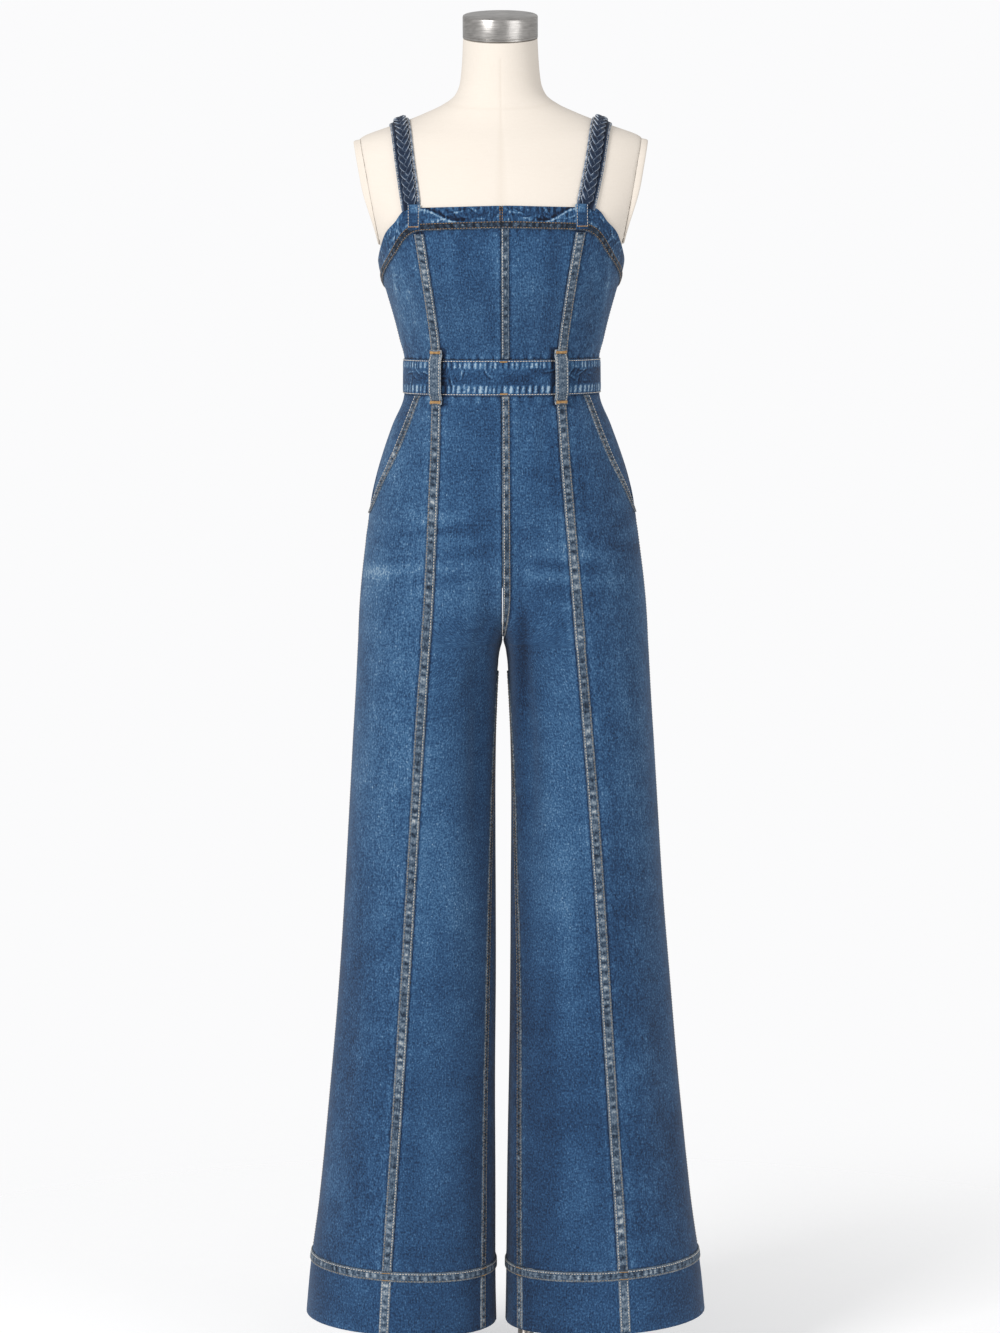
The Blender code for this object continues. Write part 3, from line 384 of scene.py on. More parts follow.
def turnFor(length, turn, height):  # the share of the way round that this length of cloth takes up
    turn, height = np.broadcast_arrays(np.asarray(turn, float), np.asarray(height, float))
    high = height > cloth["crotch"]
    ahead = np.where(high, np.minimum(turn + 0.01, 1), turn + 0.01)
    behind = np.where(high, np.maximum(turn - 0.01, 0), turn - 0.01)

    def spotOf(t):
        return np.where(high[:, None], plainPoint(t, height), legPoint(t, height))

    return length * (ahead - behind) / np.linalg.norm(spotOf(ahead) - spotOf(behind), axis=1)


# Meshes

def meshPiece(name, points, faces, material, marks=None, flat=False):
    mesh = bpy.data.meshes.new(name)
    mesh.from_pydata([], [], [])
    points = np.asarray(points, np.float32).reshape(-1, 3)
    sizes = np.array([len(f) for f in faces], np.int32)
    corners = np.concatenate([np.asarray(f, np.int32) for f in faces])
    mesh.vertices.add(len(points))
    mesh.vertices.foreach_set("co", points.ravel())
    mesh.loops.add(len(corners))
    mesh.loops.foreach_set("vertex_index", corners)
    mesh.polygons.add(len(sizes))
    mesh.polygons.foreach_set("loop_start", np.concatenate([[0], np.cumsum(sizes)[:-1]]).astype(np.int32))
    mesh.update(calc_edges=True)
    mesh.validate()
    for key, values in (marks or {}).items():
        values = np.asarray(values, np.float32)
        kind = "FLOAT" if values.ndim == 1 else "FLOAT_VECTOR"
        layer = mesh.attributes.new(key, kind, "POINT")
        layer.data.foreach_set("value" if kind == "FLOAT" else "vector", values.ravel())
    mesh.materials.append(material)
    if not flat:
        mesh.shade_smooth()
    piece = bpy.data.objects.new(name, mesh)
    bpy.context.scene.collection.objects.link(piece)
    return piece


def sharpen(piece, degrees):
    piece.data.set_sharp_from_angle(angle=math.radians(degrees))


def settle(piece, nodes=(), rides=garmentBody):
    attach(piece, rides)
    if nodes:
        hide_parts(*nodes)
    return piece


def edgeSteps(length, step, soft):  # positions from 0 to length, close together where the edge is rounded
    near = np.array([0.0, 0.30 * soft, soft, 3.2 * soft])
    count = max(2, int(round((length - 2 * near[-1]) / step)))
    middle = np.linspace(near[-1], length - near[-1], count + 1)[1:-1]
    return np.concatenate([near, middle, length - near[::-1]])


def roundedEdge(distance, soft):
    return np.sqrt(1 - (1 - np.clip(distance / soft, 0, 1)) ** 2)


def quadsOf(grid):
    return np.stack([grid[:-1, :-1], grid[:-1, 1:], grid[1:, 1:], grid[1:, :-1]], -1).reshape(-1, 4)


def ringFaces(rows, columns):  # round a closed tube, from one ring of points to the next
    grid = np.arange(rows * columns).reshape(rows, columns)
    return quadsOf(np.concatenate([grid, grid[:, :1]], 1))


def fan(first, count, centre, upward):
    found = [[first + i, first + (i + 1) % count, centre] for i in range(count)]
    return found if upward else [[b, a, c] for a, b, c in found]


def wallFaces(rows, columns):  # faces of a closed wall whose two faces share their rim
    grid = np.arange(rows * columns).reshape(rows, columns)
    back = grid.copy()
    back[1:-1, 1:-1] = rows * columns + np.arange((rows - 2) * (columns - 2)).reshape(rows - 2, columns - 2)
    return np.concatenate([quadsOf(grid), quadsOf(back)[:, ::-1]])


def wallPiece(name, side, spots, away, toEdge, thick, relief, marks, material):
    # spots and away are grids on the outer face; relief moves both faces out together
    rows, columns = toEdge.shape
    soft = thick / 2
    rise = roundedEdge(toEdge, soft)
    outer = spots + away * (relief - soft + soft * rise)[..., None]
    inner = spots + away * (relief - soft - soft * rise)[..., None]
    faces = wallFaces(rows, columns)
    if side < 0:
        faces = faces[:, ::-1]
    inside = {"inside": np.concatenate([np.zeros(rows * columns), np.ones((rows - 2) * (columns - 2))])}
    for key, values in marks.items():
        hidden = values[1:-1, 1:-1].reshape(-1, *values.shape[2:])
        inside[key] = np.concatenate([values.reshape(-1, *values.shape[2:]), hidden])
    points = np.concatenate([outer.reshape(-1, 3), inner[1:-1, 1:-1].reshape(-1, 3)])
    piece = meshPiece(name, points, faces, material, inside)
    wide, long = runAcross(outer)[:, -1].max(), runAcross(outer.swapaxes(0, 1))[:, -1].max()
    a, b = outer[1:, 1:] - outer[:-1, :-1], outer[1:, :-1] - outer[:-1, 1:]
    piece["cutArea"] = float(np.linalg.norm(np.cross(a, b), axis=2).sum() / 2)
    piece["cutWide"], piece["cutLong"] = float(wide), float(long)
    return piece


def declareCloth(piece):
    for key in ("cutWide", "cutLong", "cutArea"):
        del piece[key]


def ladder(where, seed, pitch, mix=0.65):  # light and dark patches that take turns along a seam
    rng = np.random.default_rng(seed)
    low, high = float(np.min(where)) - 0.02, float(np.max(where)) + 0.02
    knots, values, at, sign = [], [], low, 1.0
    while at < high + pitch:
        knots.append(at)
        values.append(sign * (mix + (1 - mix) * rng.uniform(-1, 1)))
        at += pitch * rng.uniform(0.30, 0.80)
        sign = -sign
    return np.interp(where, knots, values)


noiseValues = np.random.default_rng(3).uniform(-1, 1, (128, 128))


def softNoise(u, v):  # smooth random values from -1 to 1, one lump per unit each way
    i, j = np.floor(u).astype(int), np.floor(v).astype(int)
    a, b = smoothStep(u - i), smoothStep(v - j)
    i, j, k, m = i % 128, j % 128, (i + 1) % 128, (j + 1) % 128
    low = noiseValues[i, j] * (1 - a) + noiseValues[k, j] * a
    return low * (1 - b) + (noiseValues[i, m] * (1 - a) + noiseValues[k, m] * a) * b


# Materials

def node(tree, kind, **values):
    made = tree.nodes.new(kind)
    for key, value in values.items():
        if hasattr(made, key) and key not in made.inputs:
            setattr(made, key, value)
        else:
            made.inputs[key].default_value = value
    return made


def blankMaterial(name):
    material = bpy.data.materials.new(name)
    material.use_nodes = True
    tree = material.node_tree
    shader = tree.nodes["Principled BSDF"]
    return material, tree, shader


def addScaled(tree, before, value, amount):  # before + value * amount
    step = node(tree, "ShaderNodeMath", operation="MULTIPLY_ADD")
    tree.links.new(value, step.inputs[0])
    step.inputs[1].default_value = amount
    if isinstance(before, float):
        step.inputs[2].default_value = before
    else:
        tree.links.new(before, step.inputs[2])
    return step.outputs[0]


def stretched(tree, source, scale):
    mapping = node(tree, "ShaderNodeMapping")
    mapping.inputs["Scale"].default_value = scale
    tree.links.new(source, mapping.inputs["Vector"])
    return mapping.outputs["Vector"]


def attribute(tree, name):
    return node(tree, "ShaderNodeAttribute", attribute_name=name)


def colourRamp(tree, value, stops):
    ramp = node(tree, "ShaderNodeValToRGB")
    elements = ramp.color_ramp.elements
    for _ in range(len(stops) - 2):
        elements.new(0.5)
    for element, (place, colour) in zip(elements, stops):
        element.position = place
        element.color = (*colour, 1)
    tree.links.new(value, ramp.inputs[0])
    return ramp.outputs["Color"]


def noiseOf(tree, vector, scale, detail=2.0, roughness=0.5, distortion=0.0):
    made = node(
        tree, "ShaderNodeTexNoise", Scale=scale, Detail=detail, Roughness=roughness, Distortion=distortion,
    )
    tree.links.new(vector, made.inputs["Vector"])
    return made.outputs["Fac"]


def addBump(tree, shader, height, strength, distance):
    bump = node(tree, "ShaderNodeBump", Strength=strength, Distance=distance)
    tree.links.new(height, bump.inputs["Height"])
    tree.links.new(bump.outputs["Normal"], shader.inputs["Normal"])


denimLook = {
    "stops": [
        (0.00, (0.001, 0.004, 0.015)), (0.25, (0.005, 0.020, 0.056)), (0.50, (0.017, 0.060, 0.144)),
        (0.75, (0.058, 0.146, 0.272)), (1.00, (0.300, 0.410, 0.505)),
    ],
    "slub": 0.54,  # strength of the long upright slubs
    "weft": 0.14,  # of the short level ones
    "speckle": 1.00,
    "cloud": 0.27,
    "flecks": 0.20,  # pale fibres, strewn thinly
    "twill": 0.07,
    "twillWave": 430.0,  # about 0.9 mm from one twill line to the next
    "reverse": (0.230, 0.300, 0.380),  # colour of the cloth's inner face
    "bump": 0.00022,
}


def makeDenim(name, ropes=0.0, stops=None, mottle=1.0):
    look = denimLook
    material, tree, shader = blankMaterial(name)
    grain = attribute(tree, "grain").outputs["Vector"]
    slub = noiseOf(tree, stretched(tree, grain, (1.0, 0.16, 1.0)), 640, 3.0, 0.62)
    weft = noiseOf(tree, stretched(tree, grain, (0.16, 1.0, 1.0)), 720, 2.0, 0.6)
    speckle = noiseOf(tree, stretched(tree, grain, (1.0, 0.70, 1.0)), 520, 2.0, 0.6)
    cloud = noiseOf(tree, grain, 26, 3.0, 0.55)
    wave = node(tree, "ShaderNodeTexWave", bands_direction="DIAGONAL", Scale=look["twillWave"])
    tree.links.new(grain, wave.inputs["Vector"])
    shares = [
        (slub, look["slub"]), (weft, look["weft"]), (speckle, look["speckle"]), (cloud, look["cloud"]),
        (wave.outputs["Fac"], look["twill"]),
    ]
    middle = -0.5 * mottle * sum(share for _, share in shares)
    value = addScaled(tree, middle, attribute(tree, "tone").outputs["Fac"], 1.0)
    for source, share in shares:
        value = addScaled(tree, value, source, share * mottle)
    flecks = node(tree, "ShaderNodeMapRange", interpolation_type="SMOOTHSTEP")
    flecks.inputs["From Min"].default_value, flecks.inputs["From Max"].default_value = 0.63, 0.74
    tree.links.new(noiseOf(tree, grain, 610, 1.0, 0.5, 1.2), flecks.inputs["Value"])
    value = addScaled(tree, value, flecks.outputs["Result"], look["flecks"] * mottle)
    if ropes:
        value = addScaled(tree, value, attribute(tree, "rope").outputs["Fac"], ropes)
    blue = colourRamp(tree, value, stops or look["stops"])
    reverse = node(tree, "ShaderNodeMixRGB")
    reverse.inputs["Color2"].default_value = (*look["reverse"], 1)
    tree.links.new(attribute(tree, "inside").outputs["Fac"], reverse.inputs["Fac"])
    tree.links.new(blue, reverse.inputs["Color1"])
    tree.links.new(reverse.outputs["Color"], shader.inputs["Base Color"])
    relief = addScaled(tree, 0.0, slub, 0.7)
    relief = addScaled(tree, relief, wave.outputs["Fac"], 0.45)
    relief = addScaled(tree, relief, weft, 0.35)
    addBump(tree, shader, relief, 0.55, look["bump"])
    shader.inputs["Roughness"].default_value = 0.88
    shader.inputs["Specular IOR Level"].default_value = 0.22
    shader.inputs["Sheen Weight"].default_value = 0.10
    shader.inputs["Sheen Roughness"].default_value = 0.55
    return material


threadLook = {
    "tan": ((0.210, 0.150, 0.095), (0.380, 0.300, 0.210)),
    "pale": ((0.600, 0.530, 0.430), (0.860, 0.790, 0.690)),
    "gold": ((0.240, 0.120, 0.035), (0.520, 0.310, 0.110)),
}


def makeThread(name, colours):
    material, tree, shader = blankMaterial(name)
    where = node(tree, "ShaderNodeTexCoord").outputs["Object"]
    value = noiseOf(tree, where, 260, 3.0, 0.7)
    colour = colourRamp(tree, value, [(0.30, colours[0]), (0.70, colours[1])])
    tree.links.new(colour, shader.inputs["Base Color"])
    twist = node(tree, "ShaderNodeTexWave", bands_direction="DIAGONAL", Scale=900.0)
    tree.links.new(where, twist.inputs["Vector"])
    addBump(tree, shader, twist.outputs["Fac"], 0.4, 0.0001)
    shader.inputs["Roughness"].default_value = 0.62
    shader.inputs["Sheen Weight"].default_value = 0.2
    return material


linenLook = {
    "light": (0.785, 0.718, 0.642),
    "dark": (0.690, 0.612, 0.528),
}


def makeLinen(name):
    material, tree, shader = blankMaterial(name)
    where = node(tree, "ShaderNodeTexCoord").outputs["Object"]
    warpThread = noiseOf(tree, stretched(tree, where, (1.0, 1.0, 0.10)), 900, 2.0, 0.6)
    weftThread = noiseOf(tree, stretched(tree, where, (0.10, 0.10, 1.0)), 900, 2.0, 0.6)
    patches = noiseOf(tree, where, 7, 2.0, 0.5)
    value = addScaled(tree, 0.30, warpThread, 0.16)
    value = addScaled(tree, value, weftThread, 0.16)
    value = addScaled(tree, value, patches, 0.16)
    value = addScaled(tree, value, attribute(tree, "tone").outputs["Fac"], 1.0)
    colour = colourRamp(tree, value, [(0.15, linenLook["dark"]), (0.60, linenLook["light"])])
    tree.links.new(colour, shader.inputs["Base Color"])
    both = addScaled(tree, 0.0, warpThread, 0.5)
    both = addScaled(tree, both, weftThread, 0.5)
    addBump(tree, shader, both, 0.35, 0.00015)
    shader.inputs["Roughness"].default_value = 0.78
    shader.inputs["Specular IOR Level"].default_value = 0.25
    shader.inputs["Sheen Weight"].default_value = 0.08
    return material


def makeMetal(name, dark, light, roughness, brushing):
    material, tree, shader = blankMaterial(name)
    where = node(tree, "ShaderNodeTexCoord").outputs["Object"]
    streaks = noiseOf(tree, stretched(tree, where, brushing), 60, 3.0, 0.7)
    smudges = noiseOf(tree, where, 45, 3.0, 0.6)
    value = addScaled(tree, 0.0, streaks, 0.7)
    value = addScaled(tree, value, smudges, 0.3)
    tree.links.new(colourRamp(tree, value, [(0.35, dark), (0.65, light)]), shader.inputs["Base Color"])
    rough = addScaled(tree, roughness - 0.06, value, 0.14)
    tree.links.new(rough, shader.inputs["Roughness"])
    addBump(tree, shader, streaks, 0.15, 0.00006)
    shader.inputs["Metallic"].default_value = 1.0
    return material


denim = makeDenim("denim twill")
seamDenim = makeDenim("denim of the felled seams", ropes=0.36, stops=[
    (0.00, (0.003, 0.006, 0.013)), (0.26, (0.012, 0.023, 0.042)), (0.50, (0.048, 0.080, 0.124)),
    (0.74, (0.160, 0.205, 0.255)), (1.00, (0.430, 0.450, 0.450)),
])
strapDenim = makeDenim("dark denim of the straps", ropes=0.34, stops=[
    (0.00, (0.002, 0.004, 0.010)), (0.30, (0.006, 0.012, 0.030)), (0.50, (0.016, 0.032, 0.066)),
    (0.72, (0.110, 0.150, 0.215)), (1.00, (0.560, 0.610, 0.680)),
], mottle=0.55)
threads = {key: makeThread(f"{key} topstitching thread", colours) for key, colours in threadLook.items()}
linen = makeLinen("cream linen cover")
steel = makeMetal("brushed steel", (0.28, 0.27, 0.26), (0.54, 0.52, 0.50), 0.30, (1.0, 1.0, 14.0))
brass = makeMetal("aged brass", (0.23, 0.15, 0.06), (0.56, 0.42, 0.20), 0.34, (1.0, 1.0, 1.0))
print("materials made")


# Belt loops

loopLook = {
    "width": 0.0160,
    "offSeam": 0.00275,
    "inward": 0.0024,  # a front loop stands off the cloth, so it sits this much nearer the centre
    "low": 1.2245,
    "high": 1.2920,
    "thick": 0.0018,
    "standsOff": 0.0067,
    "frontSeat": 0.0029,
    "backSeat": 0.0018,
    "tack": 0.0060,  # length sewn flat at each end
    "tackIn": 0.0026,
    "tackSize": (0.0150, 0.0040),
    "stitchIn": 0.0022,
}


def loopTurn(side, place):  # where round the body a loop's middle lies, and the turns per metre there
    low, high = np.array([cloth["waistLow"]]), np.array([cloth["waistHigh"]])
    seam = frontSeam(low, side) if place == "front" else np.array([cloth["backSeam"]])
    inward = loopLook["inward"] if place == "front" else 0.0
    return seam + turnFor(loopLook["offSeam"] - inward, seam, high), turnFor(1.0, seam, high)


loopAt = {}  # how far from the centre plane each front loop lies
for loopSide in (1.0, -1.0):
    loopSpot, _ = onCloth(loopSide, loopTurn(loopSide, "front")[0], np.array([1.2575]))
    loopAt[loopSide] = float(loopSpot[0, 0])


# How light or dark the worn cloth is, seen from the front or behind: wash fades and whiskers, with painted
# light and shade on the key-lit side, in the fold beside the crotch, between the legs, beside seams and
# round the belt loops

washAndShade = {
    "leg": 0.045,  # light fade down the middle of each leg
    "knee": 0.105,
    "kneeAt": (0.068, 0.630),
    "troughShade": 0.20,  # painted shade in the upright fold beside the crotch
    "besideTrough": 0.06,
    "rightSideLit": 0.085,  # painted light: how much lighter the wearer's right side is, towards the key light
    # painted shade: how much darker the wearer's left side is, away from the key light
    "leftShade": 0.025,
    "crotch": 0.07,  # painted shade: how much darker the cloth is between the legs
    "bust": 0.03,
    "bodiceSide": 0.02,
    "whiskers": 0.150,
    "shin": 0.045,  # how much darker the lower legs are
    "inner": 0.045,  # and the inside of each leg
    "streaks": 0.050,
    "clouds": 0.050,
    "seamShade": 0.28,  # dark line beside a felled seam
    "seamPale": 0.13,
    "loopShade": 0.34,  # round the belt loops
    "hemShade": 0.02,
    "pressLine": 0.20,
}


def washAndShadeTone(spots, side):
    x, y, z = spots[..., 0], spots[..., 1], spots[..., 2]
    front = smoothStep((0.03 - y) / 0.06)
    across = np.abs(x)
    around = np.arctan2(x, -y) * 0.14
    tone = np.full(x.shape, 0.5)
    middle = 0.105 + 0.030 * smoothStep((0.9 - z) / 0.8)
    leg = hump(across - middle, 0.052)
    tall = between(z, 0.25, 0.45, 1.20, 0.35)
    tone += washAndShade["leg"] * leg * tall * (0.40 + 0.60 * front)
    glow = np.exp(-(((across - washAndShade["kneeAt"][0]) / 0.030) ** 2) - ((z - washAndShade["kneeAt"][1]) / 0.095) ** 2)
    tone += washAndShade["knee"] * glow * (0.25 + 0.75 * front)
    upright = between(z, 0.80, 0.12, 0.985, 0.02)
    # painted shade in the upright fold beside the crotch
    tone -= washAndShade["troughShade"] * hump(x - 0.024, 0.0065) * upright * front
    tone += washAndShade["besideTrough"] * hump(x - 0.055, 0.018) * between(z, 0.65, 0.1, 0.97, 0.05)
    # painted light on the wearer's right side and painted shade on the left
    outer = smoothStep((-x - 0.09) / 0.05) * smoothStep((z - 0.6) / 0.3)
    tone += washAndShade["rightSideLit"] * outer * (1 - 0.6 * smoothStep((z - 1.2) / 0.05)) * front
    tone -= washAndShade["leftShade"] * smoothStep((x - 0.005) / 0.05) * front
    hips = hump(z - 1.050, 0.060) * smoothStep((across - 0.010) / 0.03) * front
    sag = z + 0.10 * (across - 0.07)
    lines = softNoise(around * 11 + 3 * side, sag * 66) + 0.45 * softNoise(around * 24, sag * 120 + 9)
    tone += washAndShade["whiskers"] * hips * (0.25 + lines)
    tone -= washAndShade["shin"] * smoothStep((0.78 - z) / 0.35)
    tone -= washAndShade["inner"] * smoothStep((0.085 - across) / 0.05) * smoothStep((0.60 - z) / 0.15)
    tone += washAndShade["streaks"] * softNoise(around * 75 + 7, z * 7)
    tone += washAndShade["clouds"] * softNoise(around * 22, z * 15 + 31)
    tone -= washAndShade["hemShade"] * smoothStep((0.42 - z) / 0.3)
    # painted shade between the legs
    tone -= washAndShade["crotch"] * hump(across - 0.012, 0.026) * between(z, 0.4, 0.3, 1.02, 0.06)
    tone += washAndShade["bust"] * hump(z - 1.375, 0.05) * front
    above = smoothStep((z - 1.285) / 0.01)
    tone += washAndShade["bodiceSide"] * above * smoothStep((across - 0.085) / 0.03) * front
    beside = np.maximum(np.abs(x - loopAt[side]) - loopLook["width"] / 2, 0)
    beyond = np.maximum(np.maximum(loopLook["low"] - z, z - loopLook["high"]), 0)
    tone -= washAndShade["loopShade"] * np.exp(-((beside / 0.0026) ** 2) - (beyond / 0.0022) ** 2) * front
    return tone


def besideSeams(toStart, toEnd, along, covers, seed):
    # covers: how far a felled seam's strip reaches over the panel at its start and its end, or None
    tone, relief = np.zeros(along.shape), np.zeros(along.shape)
    for distance, cover, extra in ((toStart, covers[0], 0), (toEnd, covers[1], 50)):
        if cover is None:
            relief -= 0.0006 * hump(distance, 0.0020)
            tone -= 0.10 * hump(distance, 0.0022)
            continue
        past = np.maximum(distance - cover, 0)
        tick = ladder(along, seed + extra, 0.0135)
        inner = cover < 0.005  # the strip's stitched edge throws the darker line
        tone -= washAndShade["seamShade"] * (1.0 if inner else 0.45) * hump(past, 0.0015)
        tone += washAndShade["seamPale"] * (0.45 + 0.55 * tick) * hump(past - 0.0048, 0.0030)
        relief += 0.00030 * tick * hump(past, 0.0055)
    return tone, relief


def grainOf(across, along, layer):  # places on the cloth that its pattern is read from
    return np.stack([across, np.broadcast_to(along, across.shape), np.full(across.shape, layer)], -1)


def panelMarks(spots, side, toStart, along, tone, seed):
    return {"tone": washAndShadeTone(spots, side) + tone, "grain": grainOf(toStart, along, 0.37 * seed)}


def besideEdge(cover):  # places across a panel near one edge: its rounded rim, then those beside a strip
    rim = np.array([0.0, 0.15, 0.5, 1.6]) * cloth["thick"]
    if cover is None:
        return rim
    past = cover + np.array([-0.0012, 0.0002, 0.0014, 0.0028, 0.0046, 0.0068, 0.0094])
    return np.concatenate([rim, past[past > rim[-1] + 0.0006]])


def sewnPanel(name, side, start, end, heights, step, covers, seed, material=denim):
    thick = cloth["thick"]
    heights = np.asarray(heights, float)
    first, last = start(heights, side), end(heights, side)
    first = first + turnFor(cloth["gap"] / 2, first, heights)
    last = last - turnFor(cloth["gap"] / 2, last, heights)
    share = np.linspace(0, 1, 25)
    sample = clothPoint(
        (first[:, None] + share * (last - first)[:, None]).ravel(), np.repeat(heights, len(share)),
    ).reshape(len(heights), len(share), 3)
    run = runAcross(sample)
    widths = run[:, -1]
    head, tail = besideEdge(covers[0]), besideEdge(covers[1])
    middle = max(3, int(round((np.median(widths) - head[-1] - tail[-1]) / step)))
    turns = np.zeros((len(heights), len(head) + len(tail) + middle - 1))
    toStart = np.zeros(turns.shape)
    for i, width in enumerate(widths):
        squeeze = min(1.0, 0.8 * width / (head[-1] + tail[-1]))
        low, high = head * squeeze, width - tail[::-1] * squeeze
        places = np.concatenate([low, np.linspace(low[-1], high[0], middle + 1)[1:-1], high])
        turns[i] = first[i] + np.interp(places, run[i], share) * (last[i] - first[i])
        toStart[i] = places
    spots, away = onCloth(side, turns, heights[:, None])
    tall = runAlong(spots.mean(1))
    toEnd = widths[:, None] - toStart
    toTop = np.broadcast_to(tall[:, None], turns.shape)
    ends = np.minimum(toTop, tall[-1] - toTop)
    toEdge = np.minimum(np.minimum(toStart, toEnd), ends)
    along = -toTop
    tone, relief = besideSeams(toStart, toEnd, along, covers, seed)
    tick = ladder(toStart, seed + 7, 0.014)
    top = hump(toTop, 0.0080)
    # pale puckers near the top edge, and painted shadow in a dark line right along it
    tone = tone + top * (0.30 * tick + 0.05) - 0.20 * hump(toTop, 0.0016)
    foot = hump(tall[-1] - toTop, 0.0080)
    tone = tone + 0.09 * foot * tick
    relief = relief + 0.00030 * (top + foot) * tick
    marks = panelMarks(spots, side, toStart, along, tone, seed)
    return wallPiece(name, side, spots, away, toEdge, thick, relief, marks, material)


def endSteps(high, low, step, soft):  # heights from high to low, close together at both ends
    return high - edgeSteps(high - low, step, soft)


# Felled seams: a raised strip with two rows of stitches, roped by the wash

seamLook = {
    "base": 0.0002,  # height of the strip's underside above the panel
    "thick": 0.0014,
    "rope": 0.00038,
    "pitch": 0.0078,  # of the light and dark patches
    "step": 0.0017,
    "stitchIn": 0.0017,  # stitch rows stand this far in from the strip's edges
}


def roundProfile(width, soft, count):
    return np.concatenate([[0, 0.35 * soft, soft], np.linspace(soft, width - soft, count)[1:-1],
                           [width - soft, width - 0.35 * soft, width]])


def ribbonPiece(name, side, spots, away, across, width, base, thick, relief, marks, material):
    # spots: rows along the ribbon, columns across it; the ribbon gets a flat underside and capped ends
    rows, columns = spots.shape[:2]
    rise = roundedEdge(np.minimum(across, width - across), thick * 0.8)
    out = base + thick * rise + relief * rise
    top = spots + away * out[..., None]
    grid = np.arange(rows * columns).reshape(rows, columns)
    under = np.stack([grid[:-1, -1], grid[:-1, 0], grid[1:, 0], grid[1:, -1]], -1)
    faces = [list(f) for f in np.concatenate([quadsOf(grid), under])]
    faces += [list(grid[0, ::-1]), list(grid[-1])]
    if side < 0:
        faces = [f[::-1] for f in faces]
    flatMarks = {key: values.reshape(-1, *values.shape[2:]) for key, values in marks.items()}
    flatMarks["inside"] = np.zeros(rows * columns)
    return meshPiece(name, top.reshape(-1, 3), faces, material, flatMarks)


def seamRibbon(name, side, turns, heights, before, after, seed, thick=None, tone=0.5, material=seamDenim,
               ropes=1.0, pitch=1.0):
    # turns and heights follow the seam line; before and after are how far the strip reaches to its sides
    turns, heights = np.asarray(turns, float), np.asarray(heights, float)
    thick = thick or seamLook["thick"]
    width = before + after
    across = np.broadcast_to(roundProfile(width, thick * 0.8, 7), (len(turns), 11))
    gridTurns = turns[:, None] + (across - before) * turnFor(1.0, turns, heights)[:, None]
    spots, away = onCloth(side, gridTurns, np.broadcast_to(heights[:, None], gridTurns.shape))
    return finishRibbon(name, side, spots, away, across, width, seed, thick, tone, material, ropes, pitch)


def finishRibbon(name, side, spots, away, across, width, seed, thick, tone, material, ropes, pitch=1.0):
    run = runAlong(spots[:, across.shape[1] // 2])
    share = across / width
    skewed = run[:, None] + 0.0020 * (share - 0.5)
    patches = ladder(skewed, seed, seamLook["pitch"] * pitch)
    slow = softNoise(run[:, None] * 38 + 0 * share, 0 * share + seed * 1.7)
    outer = smoothStep((share - 0.45) / 0.4)
    middle = hump(share - 0.5, 0.26, 4)
    toSide = np.minimum(across, width - across)
    rows = hump(toSide - seamLook["stitchIn"], 0.0008)
    relief = seamLook["rope"] * ropes * patches * middle + 0.00020 * middle - 0.00030 * rows
    edge = hump(toSide, 0.0012)
    marks = {
        "tone": tone + 0.24 * edge - 0.16 * rows + 0.08 * slow * middle + 0.04 * outer,
        "rope": patches * middle * (1 + 0.4 * slow),
        "grain": grainOf(across, run[:, None], 0.31 * seed),
    }
    base = seamLook["base"]
    return ribbonPiece(name, side, spots, away, across, width, base, thick, relief, marks, material)


# Stitches

stitchLook = {
    "length": 0.0027,
    "space": 0.0008,
    "radius": 0.00040,
    "high": 0.00022,  # the middle of a stitch above the cloth
    "deep": 0.0002,  # its ends below
    "fine": {"strap": 0.00030, "band": 0.00032, "loop": 0.00034, "waist": 0.00044},  # other radii
    "tackPitch": 0.00055,  # from one thread of a bar tack to the next
    "tackRadius": 0.00034,
    "tackHigh": 0.00042,
}
sewn = {key: [] for key in threads}  # kind of thread: list of (points, sides, caps)


def stitchMesh(starts, ends, away, radius, high, deep):
    # every stitch has five rings of four points
    beside = unit(np.cross(away, unit(ends - starts)))
    rings = []
    for share, lift, size in (
        (0, -deep, 0.55), (0.25, high * 0.8, 1), (0.5, high, 1.05), (0.75, high * 0.8, 1), (1, -deep, 0.55),
    ):
        base = starts * (1 - share) + ends * share + away * lift
        for k in range(4):
            angle = math.pi * (k / 2 + 0.25)
            rings.append(base + radius * size * (math.cos(angle) * beside + math.sin(angle) * away))
    first = 20 * np.arange(len(starts))[:, None, None]
    faces = (ringFaces(5, 4) + first).reshape(-1, 4)
    caps = (np.array([[3, 2, 1, 0], [16, 17, 18, 19]]) + first).swapaxes(0, 1).reshape(-1, 4)
    return np.stack(rings, 1).reshape(-1, 3), faces, caps


def stitchAlong(kind, spots, away, out, radius=None, seed=1):
    # spots: points of a row on the cloth; out: the height of the surface that the stitches lie on
    length, space, radius = stitchLook["length"], stitchLook["space"], radius or stitchLook["radius"]
    spots = spots + away * np.asarray(out).reshape(-1, 1)
    run = runAlong(spots)
    count = int((run[-1] - 0.001) / (length + space))
    if count < 1:
        return
    rng = np.random.default_rng(seed)
    begin = 0.0006 + (length + space) * np.arange(count) + rng.uniform(-0.0001, 0.0001, count)

    def at(where, values):
        return np.stack([np.interp(where, run, values[:, i]) for i in range(3)], 1)

    first, last = at(begin, spots), at(begin + length, spots)
    normal = unit(at(begin + length / 2, away))
    sewn[kind].append(stitchMesh(first, last, normal, radius, stitchLook["high"], stitchLook["deep"]))


def stitchTurns(kind, side, turns, heights, out, **more):
    spots, away = onCloth(side, turns, heights)
    stitchAlong(kind, spots, away, np.full(len(spots), out), **more)


